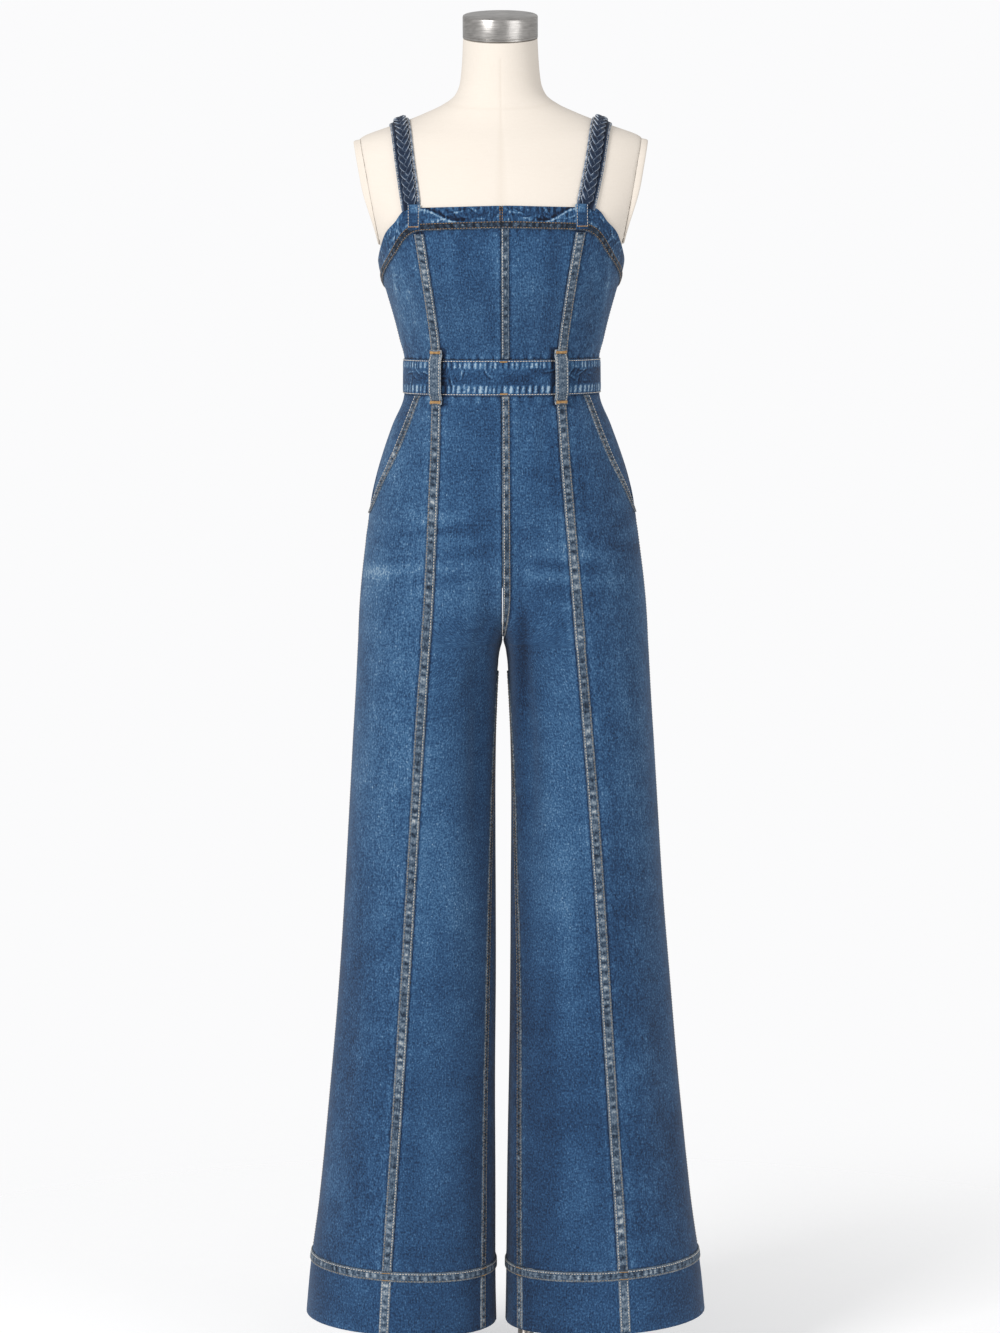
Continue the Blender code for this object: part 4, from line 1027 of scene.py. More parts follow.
def barTack(side, turn, height, lift, wide, tall, shift=0.0):  # a block of close threads
    # lift: how far it lies above the cloth
    spot, away = onCloth(side, turn, height)
    up = np.array([0.0, 0.0, 1.0])
    across = np.cross(up, away[0])
    count = max(4, int(wide / stitchLook["tackPitch"]))
    places = (np.arange(count) + 0.5) / count - 0.5
    base = spot[0] + away[0] * lift + up * shift + np.outer(places * wide, across)
    lean = 0.0003 * across
    starts, ends = base - up * tall / 2 - lean, base + up * tall / 2 + lean
    normals, radius, high = np.repeat(away, count, 0), stitchLook["tackRadius"], stitchLook["tackHigh"]
    sewn["gold"].append(stitchMesh(starts, ends, normals, radius, high, 0.0001))


def sewTogether():
    for kind, rows in sewn.items():
        if not rows:
            continue
        points, faces, offset = [], [], 0
        for made, quads, caps in rows:
            points.append(made)
            faces += (quads + offset).tolist() + (caps + offset).tolist()
            offset += len(made)
        piece = meshPiece(f"topstitching_{kind}", np.concatenate(points), faces, threads[kind])
        settle(piece)
        print("stitches in", kind, "thread:", sum(len(caps) // 2 for _, _, caps in rows))


def edgeRows(width):
    return seamLook["stitchIn"], width - seamLook["stitchIn"]


def stitchRibbon(kinds, side, turns, heights, before, width, thick=None, seed=1):
    thick = thick or seamLook["thick"]
    for kind, place in zip(kinds, edgeRows(width)):
        if kind:
            row = turns + (place - before) * turnFor(1.0, turns, heights)
            stitchTurns(kind, side, row, heights, seamLook["base"] + thick - 0.0002, seed=seed)
            seed += 1


def sewnSeam(name, solid, side, turns, heights, before, after, seed, kinds, stitchSeed, **more):
    settle(seamRibbon(name, side, turns, heights, before, after, seed, **more), [solid])
    stitchRibbon(kinds, side, turns, heights, before, before + after, seed=stitchSeed)


# Trousers

trousers = {
    "step": 0.0050,  # size of a panel's faces
    "backStep": 0.0070,
    "stripWidth": 0.0125,
    "stripBefore": 0.0035,
    "inseamStrip": (0.0010, 0.0115),  # from the inseam to the strip's nearer and further edge
    "inseamTop": 0.8960,
    "sideStitchTop": 1.082,
    "flyWidth": 0.0100,
    "hemStrip": 0.0120,
}


def legHeights(step):
    high, low = cloth["waistLow"] - cloth["gap"], cloth["hem"] + cloth["hemDeep"] + cloth["gap"]
    plain = endSteps(high, low, step, cloth["thick"] / 2)
    rise = np.linspace(0.02, 0.97, 26)
    fall = np.sqrt(1 - (1 - rise) ** 2)
    bent = cloth["riseTop"] - fall * (cloth["riseTop"] - cloth["crotch"])
    below = cloth["crotch"] - np.array([0.0, 0.0015, 0.004, 0.007, 0.0105, 0.014])
    bent = np.concatenate([bent, below])
    keep = [h for h in plain if np.abs(bent - h).min() > 0.0012 or h in (plain[0], plain[-1])]
    return np.array(sorted(np.concatenate([keep, bent]), reverse=True))


def backEnd(height, side=1.0):
    return 1.0 + inseam(height)


def sideSeam(height, side=1.0):
    return np.full(np.shape(height), cloth["sideSeam"])


def pocketFacing(label, side):
    heights = endSteps(cloth["waistLow"] - cloth["gap"], cloth["pocketFoot"] + 0.004, 0.004, 0.0008)
    edge = pocketEdge(heights)
    inset = turnFor(cloth["gap"] / 2, sideSeam(heights), heights)
    edge = np.minimum(edge, cloth["sideSeam"] - 8 * inset)
    start, end = edge - 0.030, cloth["sideSeam"] - inset
    share = np.linspace(0, 1, 26)
    turns = start[:, None] + share * (end - start)[:, None]
    spots, away = onCloth(side, turns, heights[:, None])
    toStart = runAcross(spots)
    toEnd = toStart[:, -1:] - toStart
    tucked = np.clip(1.0 - (cloth["sideSeam"] - edge - 0.040) / 0.060, 0, 1)[:, None]
    past = np.clip((turns - edge[:, None]) / np.maximum(end - edge, 1e-6)[:, None], 0, 1)
    drop = np.where(past <= 0.5, 1 + (np.maximum(0.6, tucked) - 1) * 2 * past,
                    np.maximum(0.6, tucked) + (tucked - np.maximum(0.6, tucked)) * (2 * past - 1))
    tall = np.concatenate([[0], np.cumsum(np.abs(np.diff(heights)))])
    ends = np.minimum(tall, tall[-1] - tall)[:, None]
    along = np.broadcast_to(-tall[:, None], turns.shape)
    shade = -0.12 * hump(turns - edge[:, None], 0.012)
    marks = panelMarks(spots, side, toStart, along, shade, 11)
    relief = -drop * (cloth["thick"] + 0.0011)
    toEdge = np.minimum(np.minimum(toStart, toEnd), ends)
    piece = wallPiece(f"hip_piece_{label}", side, spots, away, toEdge, cloth["thick"], relief, marks, denim)
    settle(piece, [f"pocket_facing_{label}"])
    declareCloth(piece)


def makeTrousers():
    strip, before = trousers["stripWidth"], trousers["stripBefore"]
    heights, backHeights = legHeights(0.0042), legHeights(0.0060)
    for label, side in sides.items():
        seed = 100 if side > 0 else 200
        centreCover = trousers["flyWidth"] if side > 0 else 0.0
        for part, start, end, step, rows, covers in (
            ("front", inseam, frontSeam, trousers["step"], heights, (centreCover, before)),
            ("side", frontSeam, pocketEdge, trousers["step"], heights, (strip - before, None)),
            ("back", sideSeam, backEnd, trousers["backStep"], backHeights, (None, None)),
        ):
            piece = sewnPanel(f"trouser_{part}_cloth_{label}", side, start, end, rows, step, covers, seed)
            settle(piece, [f"trouser_{part}_{label}"])
            declareCloth(piece)
            seed += 3
        pocketFacing(label, side)
        low = cloth["hem"] + cloth["hemDeep"] + cloth["gap"]
        rows = np.arange(cloth["waistLow"] - 0.0006, low, -seamLook["step"])
        sewnSeam(
            f"felled_front_seam_{label}", f"front_leg_seam_{label}", side, frontSeam(rows, side), rows,
            before, strip - before, seed + 20, ("pale", "tan"), seed, pitch=1.25,
        )
        rows = np.arange(cloth["waistLow"] - 0.0006, cloth["pocketFoot"], -seamLook["step"])
        sewnSeam(
            f"pocket_mouth_{label}", f"pocket_hem_{label}", side, pocketEdge(rows), rows, strip, -0.0010,
            seed + 21, ("tan", "pale"), seed + 4, tone=0.46,
        )
        rows = np.arange(trousers["inseamTop"], low, -seamLook["step"])
        shift = trousers["inseamStrip"]
        sewnSeam(
            f"felled_inseam_{label}", f"inseam_strip_{label}", side, inseam(rows), rows, -shift[0], shift[1],
            seed + 22, ("tan", "tan"), seed + 8, tone=0.34,
        )
        # plain side seam and back seam lines get one row of stitches on their rear side
        rows = np.arange(trousers["sideStitchTop"], low, -seamLook["step"])
        stitchTurns("tan", side, 0.5 + turnFor(0.003, sideSeam(rows), rows), rows, 0.0, seed=seed + 9)
    rise = np.linspace(0.0, 0.62, 60)
    curved = cloth["riseTop"] - np.sqrt(1 - (1 - rise) ** 2) * (cloth["riseTop"] - cloth["crotch"])
    straight = np.arange(cloth["waistLow"] - 0.0006, cloth["riseTop"] + 0.001, -seamLook["step"])
    rows = np.concatenate([straight, curved])
    width = trousers["flyWidth"]
    piece = seamRibbon("felled_front_rise", 1.0, 0 * rows, rows, 0.0, width, 31, tone=0.49, pitch=1.8)
    settle(piece, ["fly_strip"])
    line = 0 * rows + turnFor(0.0004, 0 * rows, rows)
    stitchRibbon(("pale", "tan"), 1.0, line, rows, 0.0, width, seed=33)
    backRise = np.concatenate([np.arange(1.130, cloth["riseTop"] + 0.001, -seamLook["step"]), curved])
    for side in sides.values():
        for off in (0.0030, 0.0075):
            line = 1.0 - turnFor(off, np.ones(len(backRise)), backRise)
            stitchTurns("tan", side, line, backRise, 0.0, seed=35)
    print("trousers made")


def makeHemBands():
    top, foot = cloth["hem"] + cloth["hemDeep"], cloth["hem"]
    strip, before = trousers["stripWidth"], trousers["stripBefore"]
    for label, side in sides.items():
        seed = 300 if side > 0 else 400
        heights = endSteps(top, foot, 0.0042, cloth["thick"] / 2)
        piece = sewnPanel(
            f"hem_band_cloth_{label}", side, inseam, backEnd, heights, 0.0045, (None, None), seed,
        )
        settle(piece, [f"hem_band_{label}"])
        declareCloth(piece)
        turns = inseam(np.array([top - trousers["hemStrip"] / 2]))[0] + np.linspace(0, 1, 440)
        across = np.broadcast_to(roundProfile(trousers["hemStrip"], 0.0011, 7), (len(turns), 11))
        spots, away = onCloth(side, np.broadcast_to(turns[:, None], across.shape), top - across)
        piece = finishRibbon(
            f"hem_band_seam_{label}", side, spots, away, across, trousers["hemStrip"], seed + 1,
            seamLook["thick"], 0.47, seamDenim, 0.9,
        )
        settle(piece, [f"hem_strip_{label}"])
        for kind, place in (("pale", 0.0017), ("tan", trousers["hemStrip"] - 0.0017)):
            stitchTurns(kind, side, turns, 0 * turns + top - place, 0.0014, seed=seed)
        rows = np.arange(top - trousers["hemStrip"] - 0.0003, foot + 0.0004, -seamLook["step"])
        sewnSeam(
            f"hem_front_seam_{label}", f"hem_seam_{label}", side, frontSeam(rows, side), rows, before,
            strip - before, seed + 5, ("pale", "pale"), seed, tone=0.56,
        )
        shift = trousers["inseamStrip"]
        sewnSeam(
            f"hem_inner_seam_{label}", f"hem_inseam_{label}", side, inseam(rows), rows, -shift[0], shift[1],
            seed + 6, ("tan", "tan"), seed + 3, tone=0.54,
        )
        for height, seamAt in ((top - 0.006, frontSeam), (top - 0.006, inseam)):
            level = np.array([height])
            seam = seamAt(level, side)
            centre = seam + turnFor(0.003 if seamAt is frontSeam else 0.006, seam, level)
            for shift in (-0.0045, 0.0045):
                barTack(side, centre, level, 0.0018, 0.0105, 0.0008, shift)
    print("hem bands made")


makeTrousers()
makeHemBands()


# Bodice

bodice = {
    "step": 0.0030,
    "rowStep": 0.0026,
    "centreWidth": 0.0100,
    "bandStrip": (0.0026, 0.0066),  # below and above the band's foot
}


def bodiceTurn(side, station, height):
    seams = np.stack([
        np.zeros(len(height)), bodiceSeam(height, side), np.full(len(height), cloth["sideSeam"]),
        np.full(len(height), cloth["backSeam"]), np.ones(len(height)),
    ])
    at = np.minimum(station.astype(int), 3)
    low, high = seams[at, np.arange(len(at))], seams[at + 1, np.arange(len(at))]
    return low + (station - at) * (high - low)


def bodicePanel(name, side, start, end, low, high, step, rowStep, covers, seed, material, relief):
    # stations from start to end round the body, between two edges that are heights for every turn
    thick = cloth["thick"]
    wide = 0.085 * (end - start)
    head, tail = besideEdge(covers[0]), besideEdge(covers[1])
    middle = int(round((wide - head[-1] - tail[-1]) / step))
    even = np.linspace(head[-1], wide - tail[-1], middle + 1)[1:-1]
    columns = np.concatenate([head, even, wide - tail[::-1]]) / wide
    middleHeight = 0.5 * (low(np.array([0.3])) + high(np.array([0.3])))[0]
    tall = abs(high(np.array([0.3])) - low(np.array([0.3])))[0]
    rows = edgeSteps(tall, rowStep, thick / 2) / tall
    u, v = np.meshgrid(columns, rows)
    station = start + u * (end - start)
    height = np.full(u.shape, middleHeight)
    for _ in range(6):
        turn = bodiceTurn(side, station.ravel(), height.ravel()).reshape(u.shape)
        height = low(turn) + v * (high(turn) - low(turn))
    inset = turnFor(cloth["gap"] / 2, cloth["sideSeam"], height.ravel()).reshape(u.shape)
    first = bodiceTurn(side, np.full(u.size, float(start)), height.ravel()).reshape(u.shape) + inset
    last = bodiceTurn(side, np.full(u.size, float(end)), height.ravel()).reshape(u.shape) - inset
    turn = np.minimum(np.maximum(turn, first), last)
    spots, away = onCloth(side, turn, height)
    toStart = runAcross(spots)
    toEnd = toStart[:, -1:] - toStart
    up = runAcross(spots.swapaxes(0, 1)).T
    toTop = up[-1:] - up
    toEdge = np.minimum(np.minimum(toStart, toEnd), np.minimum(up, toTop))
    tone, out = besideSeams(toStart, toEnd, height, covers, seed)
    more, moreTone = relief(spots, height, up, toTop, toStart, side)
    marks = panelMarks(spots, side, toStart, height, tone + moreTone, seed)
    return wallPiece(name, side, spots, away, toEdge, thick, out + more, marks, material)


def bodiceShade(spots, height, up, toTop, toStart, side):
    # puckers and shade under the stitched band and above the waistband
    around = toStart + 0.5 * side
    top = hump(toTop, 0.0085)
    foot = hump(up, 0.0065)
    ticks, footTicks = ladder(around, 61, 0.0110), ladder(around, 62, 0.0100)
    tone = top * (0.20 * ticks - 0.03) + foot * (0.32 * footTicks + 0.06)
    tone = tone - 0.22 * hump(toTop, 0.0025) - 0.22 * hump(up, 0.0014)
    x, y, z = np.abs(spots[..., 0]), spots[..., 1], spots[..., 2]
    press = hump(x - 0.121 - 0.10 * (z - 1.30), 0.0018) * (y < 0) * (z > 1.29)
    tone = tone + washAndShade["pressLine"] * press * (0.6 + 0.5 * softNoise(z * 60, 0 * z))
    shade = hump(x - 0.068 - 0.25 * (z - 1.30), 0.009) * (y < 0)
    tone = tone - 0.10 * shade * smoothStep((z - 1.33) / 0.08)
    return 0.00035 * (top * ticks + foot * footTicks), tone


topBand = {
    "step": 0.0015,
    "rowStep": 0.0012,
    "lipInner": 0.046,  # the front layer's edge runs from here, at the stitched seam
    "lipOuter": {1.0: 0.088, -1.0: 0.096},  # to here, at the strap
    "lipStep": 0.0008,
    "lipPale": 0.60,
    "lipShade": 0.46,
    "creases": 44,
}


def paleCreases(u, v, wide, tall, count, seed, slant):  # short worn lines, placed at random over a band
    rng = np.random.default_rng(seed)
    tone = np.zeros(u.shape)
    for _ in range(count):
        cu, cv = rng.uniform(0, wide), rng.uniform(0.25, 0.75) * tall
        angle, half = rng.normal(0, slant), rng.uniform(0.004, 0.012)
        bow = rng.uniform(-30, 30)
        near = np.abs(u - cu) < 0.016
        du, dv = u[near] - cu, v[near] - cv
        along = du * math.cos(angle) + dv * math.sin(angle)
        off = dv * math.cos(angle) - du * math.sin(angle) - bow * along * along
        fade = np.clip(1.3 - np.abs(along) / half, 0, 1)
        tone[near] += rng.uniform(0.5, 1.0) * fade * hump(off, 0.0010)
        tone[near] -= 0.5 * fade * hump(off + 0.0016, 0.0012)
    return np.clip(tone, -0.6, 1.0)


def bandRelief(spots, height, up, toTop, toStart, side):
    x, y = np.abs(spots[..., 0]), spots[..., 1]
    tall = up + toTop
    share = up / np.maximum(tall, 1e-6)
    inner, outer = topBand["lipInner"], topBand["lipOuter"][side]
    lip = 0.24 + 0.66 * smoothStep((x - inner) / (outer - inner)) ** 1.35
    front = (x < outer + 0.003) & (x > inner - 0.004) & (y < 0)
    below = np.where(front, smoothStep((lip - share) / 0.05), 0.0)
    line = np.where(front, hump(share - lip, 0.055), 0.0)
    shadow = np.where(front, hump(share - lip - 0.12, 0.08), 0.0)
    ticksTop, ticksFoot = ladder(toStart + side, 71, 0.0062), ladder(toStart + 2 * side, 72, 0.0060)
    topTicks = between(toTop, 0, 0.0015, 0.0095, 0.0040)
    footTicks = between(up, 0.0064, 0.0008, 0.0130, 0.0035)
    wide, high = float(toStart.max()), float(tall.max())
    creases = paleCreases(toStart, up, wide, high, topBand["creases"], 73 if side > 0 else 74, 1.4)
    tone = 0.34 * topTicks * (ticksTop + 0.1) + 0.36 * footTicks * (ticksFoot + 0.25)
    tone = tone + topBand["lipPale"] * line - topBand["lipShade"] * shadow
    tone = tone - 0.10 + 0.10 * below + 0.50 * (1 - line) * creases
    tone = tone + 0.16 * hump(toTop, 0.0010)
    out = topBand["lipStep"] * below + 0.00025 * (topTicks * ticksTop + footTicks * ticksFoot)
    return out, tone


def aboveWaist(turn):
    return np.full(np.shape(turn), cloth["waistHigh"] + cloth["gap"])


def bandFoot(turn):
    return easedTopEdge(turn, 0.046) - cloth["bandDeep"]


def underBand(turn):
    return bandFoot(turn) - cloth["gap"]


def bandTop(turn):
    return easedTopEdge(turn, 0.012, 0.0030)


def makeBodice():
    strip, before = trousers["stripWidth"], trousers["stripBefore"]
    for label, side in sides.items():
        seed = 500 if side > 0 else 600
        for station, place in enumerate(("front", "side_front", "side_back", "back")):
            centreCover = bodice["centreWidth"] if side > 0 else 0.0
            covers = ((centreCover, before), (strip - before, None), (None, None), (None, None))[station]
            piece = bodicePanel(
                f"bodice_{place}_cloth_{label}", side, station, station + 1, aboveWaist, underBand,
                bodice["step"], bodice["rowStep"], covers, seed + station, denim, bodiceShade,
            )
            settle(piece, [f"bodice_{place}_{label}"])
            declareCloth(piece)
        for part, start, end in (("front", 0, 2), ("back", 2, 4)):
            piece = bodicePanel(
                f"top_band_{part}_cloth_{label}", side, start, end, bandFoot, bandTop, topBand["step"],
                topBand["rowStep"], (None, None), seed + 10 + start, denim, bandRelief,
            )
            settle(piece, [f"top_band_{part}_{label}"])
            declareCloth(piece)
        # stitched strip along the band's foot
        low, high = bodice["bandStrip"]
        turns = np.linspace(0.0006, 0.9994, 330)
        across = np.broadcast_to(roundProfile(low + high, 0.0011, 7), (len(turns), 11))
        gridTurns = np.broadcast_to(turns[:, None], across.shape)
        spots, away = onCloth(side, gridTurns, bandFoot(gridTurns) + high - across)
        piece = finishRibbon(
            f"band_seam_{label}", side, spots, away, across, low + high, seed + 15, seamLook["thick"], 0.26,
            seamDenim, 1.1,
        )
        settle(piece, [f"band_strip_{label}"])
        for lift in (high - 0.0014, -low + 0.0014):
            radius = stitchLook["fine"]["band"]
            stitchTurns("gold", side, turns, bandFoot(turns) + lift, 0.0013, seed=seed, radius=radius)
        # the seam over the bust
        high = 1.434
        for _ in range(6):
            level = np.array([high])
            seamAt = bodiceSeam(level, side)
            high = float(bandFoot(seamAt + turnFor(strip, seamAt, level))[0]) - 0.0026
        rows = np.arange(high, cloth["waistHigh"] + 0.0006, -seamLook["step"])
        sewnSeam(
            f"bust_seam_{label}", f"bodice_seam_{label}", side, bodiceSeam(rows, side), rows, before,
            strip - before, seed + 16, ("pale", "tan"), seed + 2,
        )
        # princess seams behind and side seams get one row of stitches
        for seamTurn in (0.5, 0.72):
            rows = np.arange(1.355, cloth["waistHigh"] + 0.001, -seamLook["step"])
            line = seamTurn + turnFor(0.003, np.full(len(rows), seamTurn), rows)
            stitchTurns("tan", side, line, rows, 0.0, seed=seed + 5)
    high = float(bandFoot(np.array([0.0]))[0]) - 0.0026
    rows = np.arange(high, cloth["waistHigh"] + 0.0006, -seamLook["step"])
    width = bodice["centreWidth"]
    piece = seamRibbon("centre_front_seam", 1.0, 0 * rows, rows, 0.0, width, 41, tone=0.49, pitch=1.4)
    settle(piece, ["bodice_centre_seam"])
    stitchRibbon(("pale", ""), 1.0, 0 * rows, rows, 0.0004, width, seed=43)
    rows = np.arange(1.4625, 1.4395, -0.001)
    stitchTurns("gold", 1.0, 0 * rows + turnFor(0.0012, 0 * rows, rows), rows, 0.0002, seed=44)
    stitchTurns("gold", -1.0, 0 * rows + turnFor(0.0012, 0 * rows, rows), rows, 0.0002, seed=45)
    print("bodice made")


makeBodice()


# Waistband and belt loops

waistband = {
    "thick": 0.0028,
    "proud": 0.0010,
    "bulge": 0.0007,
    "stitchIn": 0.0016,
    "step": 0.0014,
    "rowStep": 0.0013,
    "creases": 60,
}


def makeWaistband():
    low, high = cloth["waistLow"], cloth["waistHigh"]
    gapTurn = float(turnFor(cloth["gap"] / 2, np.ones(1), np.array([low]))[0])
    around = edgeSteps(0.33, waistband["step"], 0.0014) / 0.33 * 0.5
    around = np.concatenate([around, 1 - around[::-1][1:]]) * 2 - 1
    rows = low + edgeSteps(high - low, waistband["rowStep"], waistband["thick"] / 2)
    u, z = np.meshgrid(around, rows)
    turn = np.minimum(np.abs(u), 1 - gapTurn)
    spots, away = np.zeros((*u.shape, 3)), np.zeros((*u.shape, 3))
    for side in sides.values():
        half = (u < 0) if side < 0 else (u >= 0)
        spots[half], away[half] = onCloth(side, turn[half], z[half])
    run = runAcross(spots)
    up, down = z - low, high - z
    toEdge = np.minimum(np.minimum(run, run[:, -1:] - run), np.minimum(up, down))
    ticksTop, ticksFoot = ladder(run, 81, 0.0054, 0.7), ladder(run, 82, 0.0060, 0.7)
    topTicks = between(down, 0.0030, 0.0010, 0.0120, 0.0030)
    footTicks = between(up, 0.0030, 0.0010, 0.0135, 0.0030)
    middle = np.sin(np.pi * np.clip(up / (high - low), 0, 1)) ** 0.5
    grooves = hump(np.minimum(up, down) - waistband["stitchIn"], 0.0008)
    out = waistband["proud"] + waistband["bulge"] * middle - 0.00030 * grooves
    out = out + 0.00035 * (topTicks * ticksTop + footTicks * ticksFoot)
    tone = 0.50 + 0.06 * softNoise(run * 40, z * 60)
    tone = tone + topTicks * (0.50 * ticksTop + 0.10) + footTicks * (0.58 * ticksFoot + 0.12)
    inside = (1 - topTicks) * (1 - footTicks) * (np.minimum(up, down) > 0.004)
    creases = paleCreases(run, up, float(run.max()), high - low, waistband["creases"], 84, 0.8)
    patches = np.clip(softNoise(run * 55 + 11, z * 90) * 1.6, -1, 1)
    tone = tone - 0.07 * inside + 0.09 * inside * patches + 0.56 * creases * (0.35 + 0.65 * inside)
    centre = hump(np.abs(spots[..., 0] - 0.010), 0.010) * (spots[..., 1] < 0)
    rim = hump(np.minimum(up, down), 0.0012)
    tone = tone + 0.14 * centre * footTicks + 0.16 * rim - 0.14 * grooves
    for side in sides.values():
        beside = np.maximum(np.abs(spots[..., 0] - loopAt[side]) - loopLook["width"] / 2, 0)
        tone = tone - washAndShade["loopShade"] * hump(beside, 0.0026) * (spots[..., 1] < 0)
    marks = {"tone": tone, "grain": grainOf(run, z, 3.3)}
    piece = wallPiece("waistband_cloth", 1.0, spots, away, toEdge, waistband["thick"], out, marks, denim)
    settle(piece, ["waistband"])
    declareCloth(piece)
    for side in sides.values():
        turns = np.linspace(0.0, 0.998, 300)
        for level in (low + waistband["stitchIn"], high - waistband["stitchIn"]):
            stitchTurns("pale", side, turns, 0 * turns + level, waistband["proud"] + 0.0003, seed=83,
                         radius=stitchLook["fine"]["waist"])
    for height in (low + 0.0022, high - 0.0022):
        barTack(1.0, np.array([0.008]), np.array([height]), 0.0016, 0.009, 0.0022)
    print("waistband made")


def makeBeltLoops():
    look = loopLook
    tall = look["high"] - look["low"]
    raised = waistband["proud"] + look["standsOff"]
    for place, flat in (("front", look["frontSeat"]), ("back", look["backSeat"])):
        path = np.array([
            (look["low"], flat), (look["low"] + look["tack"], flat), (look["low"] + 0.20 * tall, raised),
            (look["low"] + 0.50 * tall, raised + 0.0002), (look["low"] + 0.80 * tall, raised),
            (look["high"] - look["tack"], flat), (look["high"], flat),
        ])
        heights = np.linspace(look["low"], look["high"], 60)
        stand = np.interp(heights, path[:, 0], path[:, 1])
        kernel = np.hanning(9) / np.hanning(9).sum()
        padded = np.concatenate([[stand[0]] * 4, stand, [stand[-1]] * 4])
        stand = np.convolve(padded, kernel, "valid")
        across = np.broadcast_to(roundProfile(look["width"], 0.0009, 9), (len(heights), 13))
        for label, side in sides.items():
            centre, perTurn = loopTurn(side, place)
            turns = centre + (across - look["width"] / 2) * perTurn
            spots, away = onCloth(side, turns, np.broadcast_to(heights[:, None], turns.shape))
            spots = spots + away * stand[:, None, None]
            share = across / look["width"]
            toSide = np.minimum(across, look["width"] - across)
            rows = hump(toSide - look["stitchIn"], 0.0008)
            patches = ladder(heights[:, None] + 0.002 * share, 91, 0.010)
            centreRib = hump(share - 0.5, 0.20)
            relief = 0.00015 * centreRib * (1 + patches) - 0.00025 * rows
            tone = 0.60 + 0.30 * hump(toSide, 0.0011) - 0.07 * centreRib - 0.12 * rows
            toTip = np.minimum(heights - look["low"], look["high"] - heights)[:, None]
            # painted shadow: a dark line just inside each bar tack, where the loop lifts off
            tone = tone - 0.25 * hump(toTip - 0.0048, 0.0010)
            grain = grainOf(across, heights[:, None], 5.0)
            marks = {"tone": tone, "rope": 0.35 * patches * centreRib, "grain": grain}
            piece = ribbonPiece(
                f"loop_{place}_{label}", side, spots, away, across, look["width"], 0.0, look["thick"],
                relief, marks, seamDenim,
            )
            settle(piece, [f"belt_loop_{place}_{label}"])
            for off in (look["stitchIn"], look["width"] - look["stitchIn"]):
                row = centre + (off - look["width"] / 2) * perTurn + 0 * heights
                line, out = onCloth(side, row, heights)
                lift, radius = stand + look["thick"] - 0.0002, stitchLook["fine"]["loop"]
                stitchAlong("pale", line, out, lift, radius=radius, seed=93)
            for height in (look["low"] + look["tackIn"], look["high"] - look["tackIn"]):
                level = float(np.interp(height, heights, stand)) + look["thick"]
                barTack(side, centre, np.array([height]), level, *look["tackSize"])
    print("belt loops made")


makeWaistband()
makeBeltLoops()


# Dress form

formRows = np.array([
    (1.005, 0.1540, 0.0960, 0.1030, 2.20), (1.050, 0.1570, 0.1000, 0.1080, 2.20),
    (1.090, 0.1545, 0.1010, 0.1080, 2.20), (1.127, 0.1480, 0.1000, 0.1055, 2.20),
    (1.166, 0.1365, 0.0965, 0.0980, 2.20), (1.205, 0.1210, 0.0900, 0.0865, 2.20),
    (1.236, 0.1140, 0.0875, 0.0808, 2.20), (1.279, 0.1138, 0.0873, 0.0798, 2.20),
    (1.300, 0.1190, 0.0930, 0.0830, 2.20), (1.325, 0.1260, 0.1035, 0.0870, 2.25),
    (1.361, 0.1355, 0.1172, 0.0912, 2.35), (1.385, 0.1425, 0.1225, 0.0940, 2.40),
    (1.405, 0.1450, 0.1225, 0.0960, 2.40), (1.430, 0.1600, 0.1170, 0.0980, 2.35),
    (1.465, 0.1770, 0.1060, 0.0990, 2.28), (1.500, 0.1860, 0.0920, 0.0970, 2.10),
    (1.525, 0.1860, 0.0790, 0.0920, 1.98), (1.540, 0.1780, 0.0705, 0.0870, 1.90),
    (1.548, 0.1660, 0.0655, 0.0835, 1.84), (1.557, 0.1420, 0.0600, 0.0785, 1.78),
    (1.566, 0.1150, 0.0555, 0.0735, 1.76), (1.576, 0.0900, 0.0515, 0.0690, 1.80),
    (1.586, 0.0690, 0.0485, 0.0650, 1.90), (1.597, 0.0550, 0.0465, 0.0615, 1.97),
    (1.612, 0.0490, 0.0460, 0.0575, 2.00), (1.640, 0.0462, 0.0480, 0.0520, 2.00),
    (1.665, 0.0450, 0.0505, 0.0475, 2.00),
])
dressForm = {
    "neckTop": 1.6650,
    "neckFrom": 1.592,
    "neckTilt": math.radians(10.5),
    "foot": 1.0050,
    "plateTop": (0.1690, 1.5380),
    "plateLean": 0.188,
    "plateFoot": 1.4170,
    "plateHead": 1.5440,
    "plateThick": 0.0066,
    "around": 176,
    "seam": 0.00045,  # depth of the cover's sewn lines
}


def formPoint(angle, height):
    half, front, back, power = readRows(formRows, height)
    depth = np.where(np.sin(angle) < 0, front, back)
    x = half * signedPower(np.cos(angle), 2 / power)
    y = depth * signedPower(np.sin(angle), 2 / power)
    lean = np.clip((height - dressForm["neckFrom"]) / (dressForm["neckTop"] - dressForm["neckFrom"]), 0, 1)
    return np.stack([x, y, height + y * math.tan(dressForm["neckTilt"]) * lean], 1)


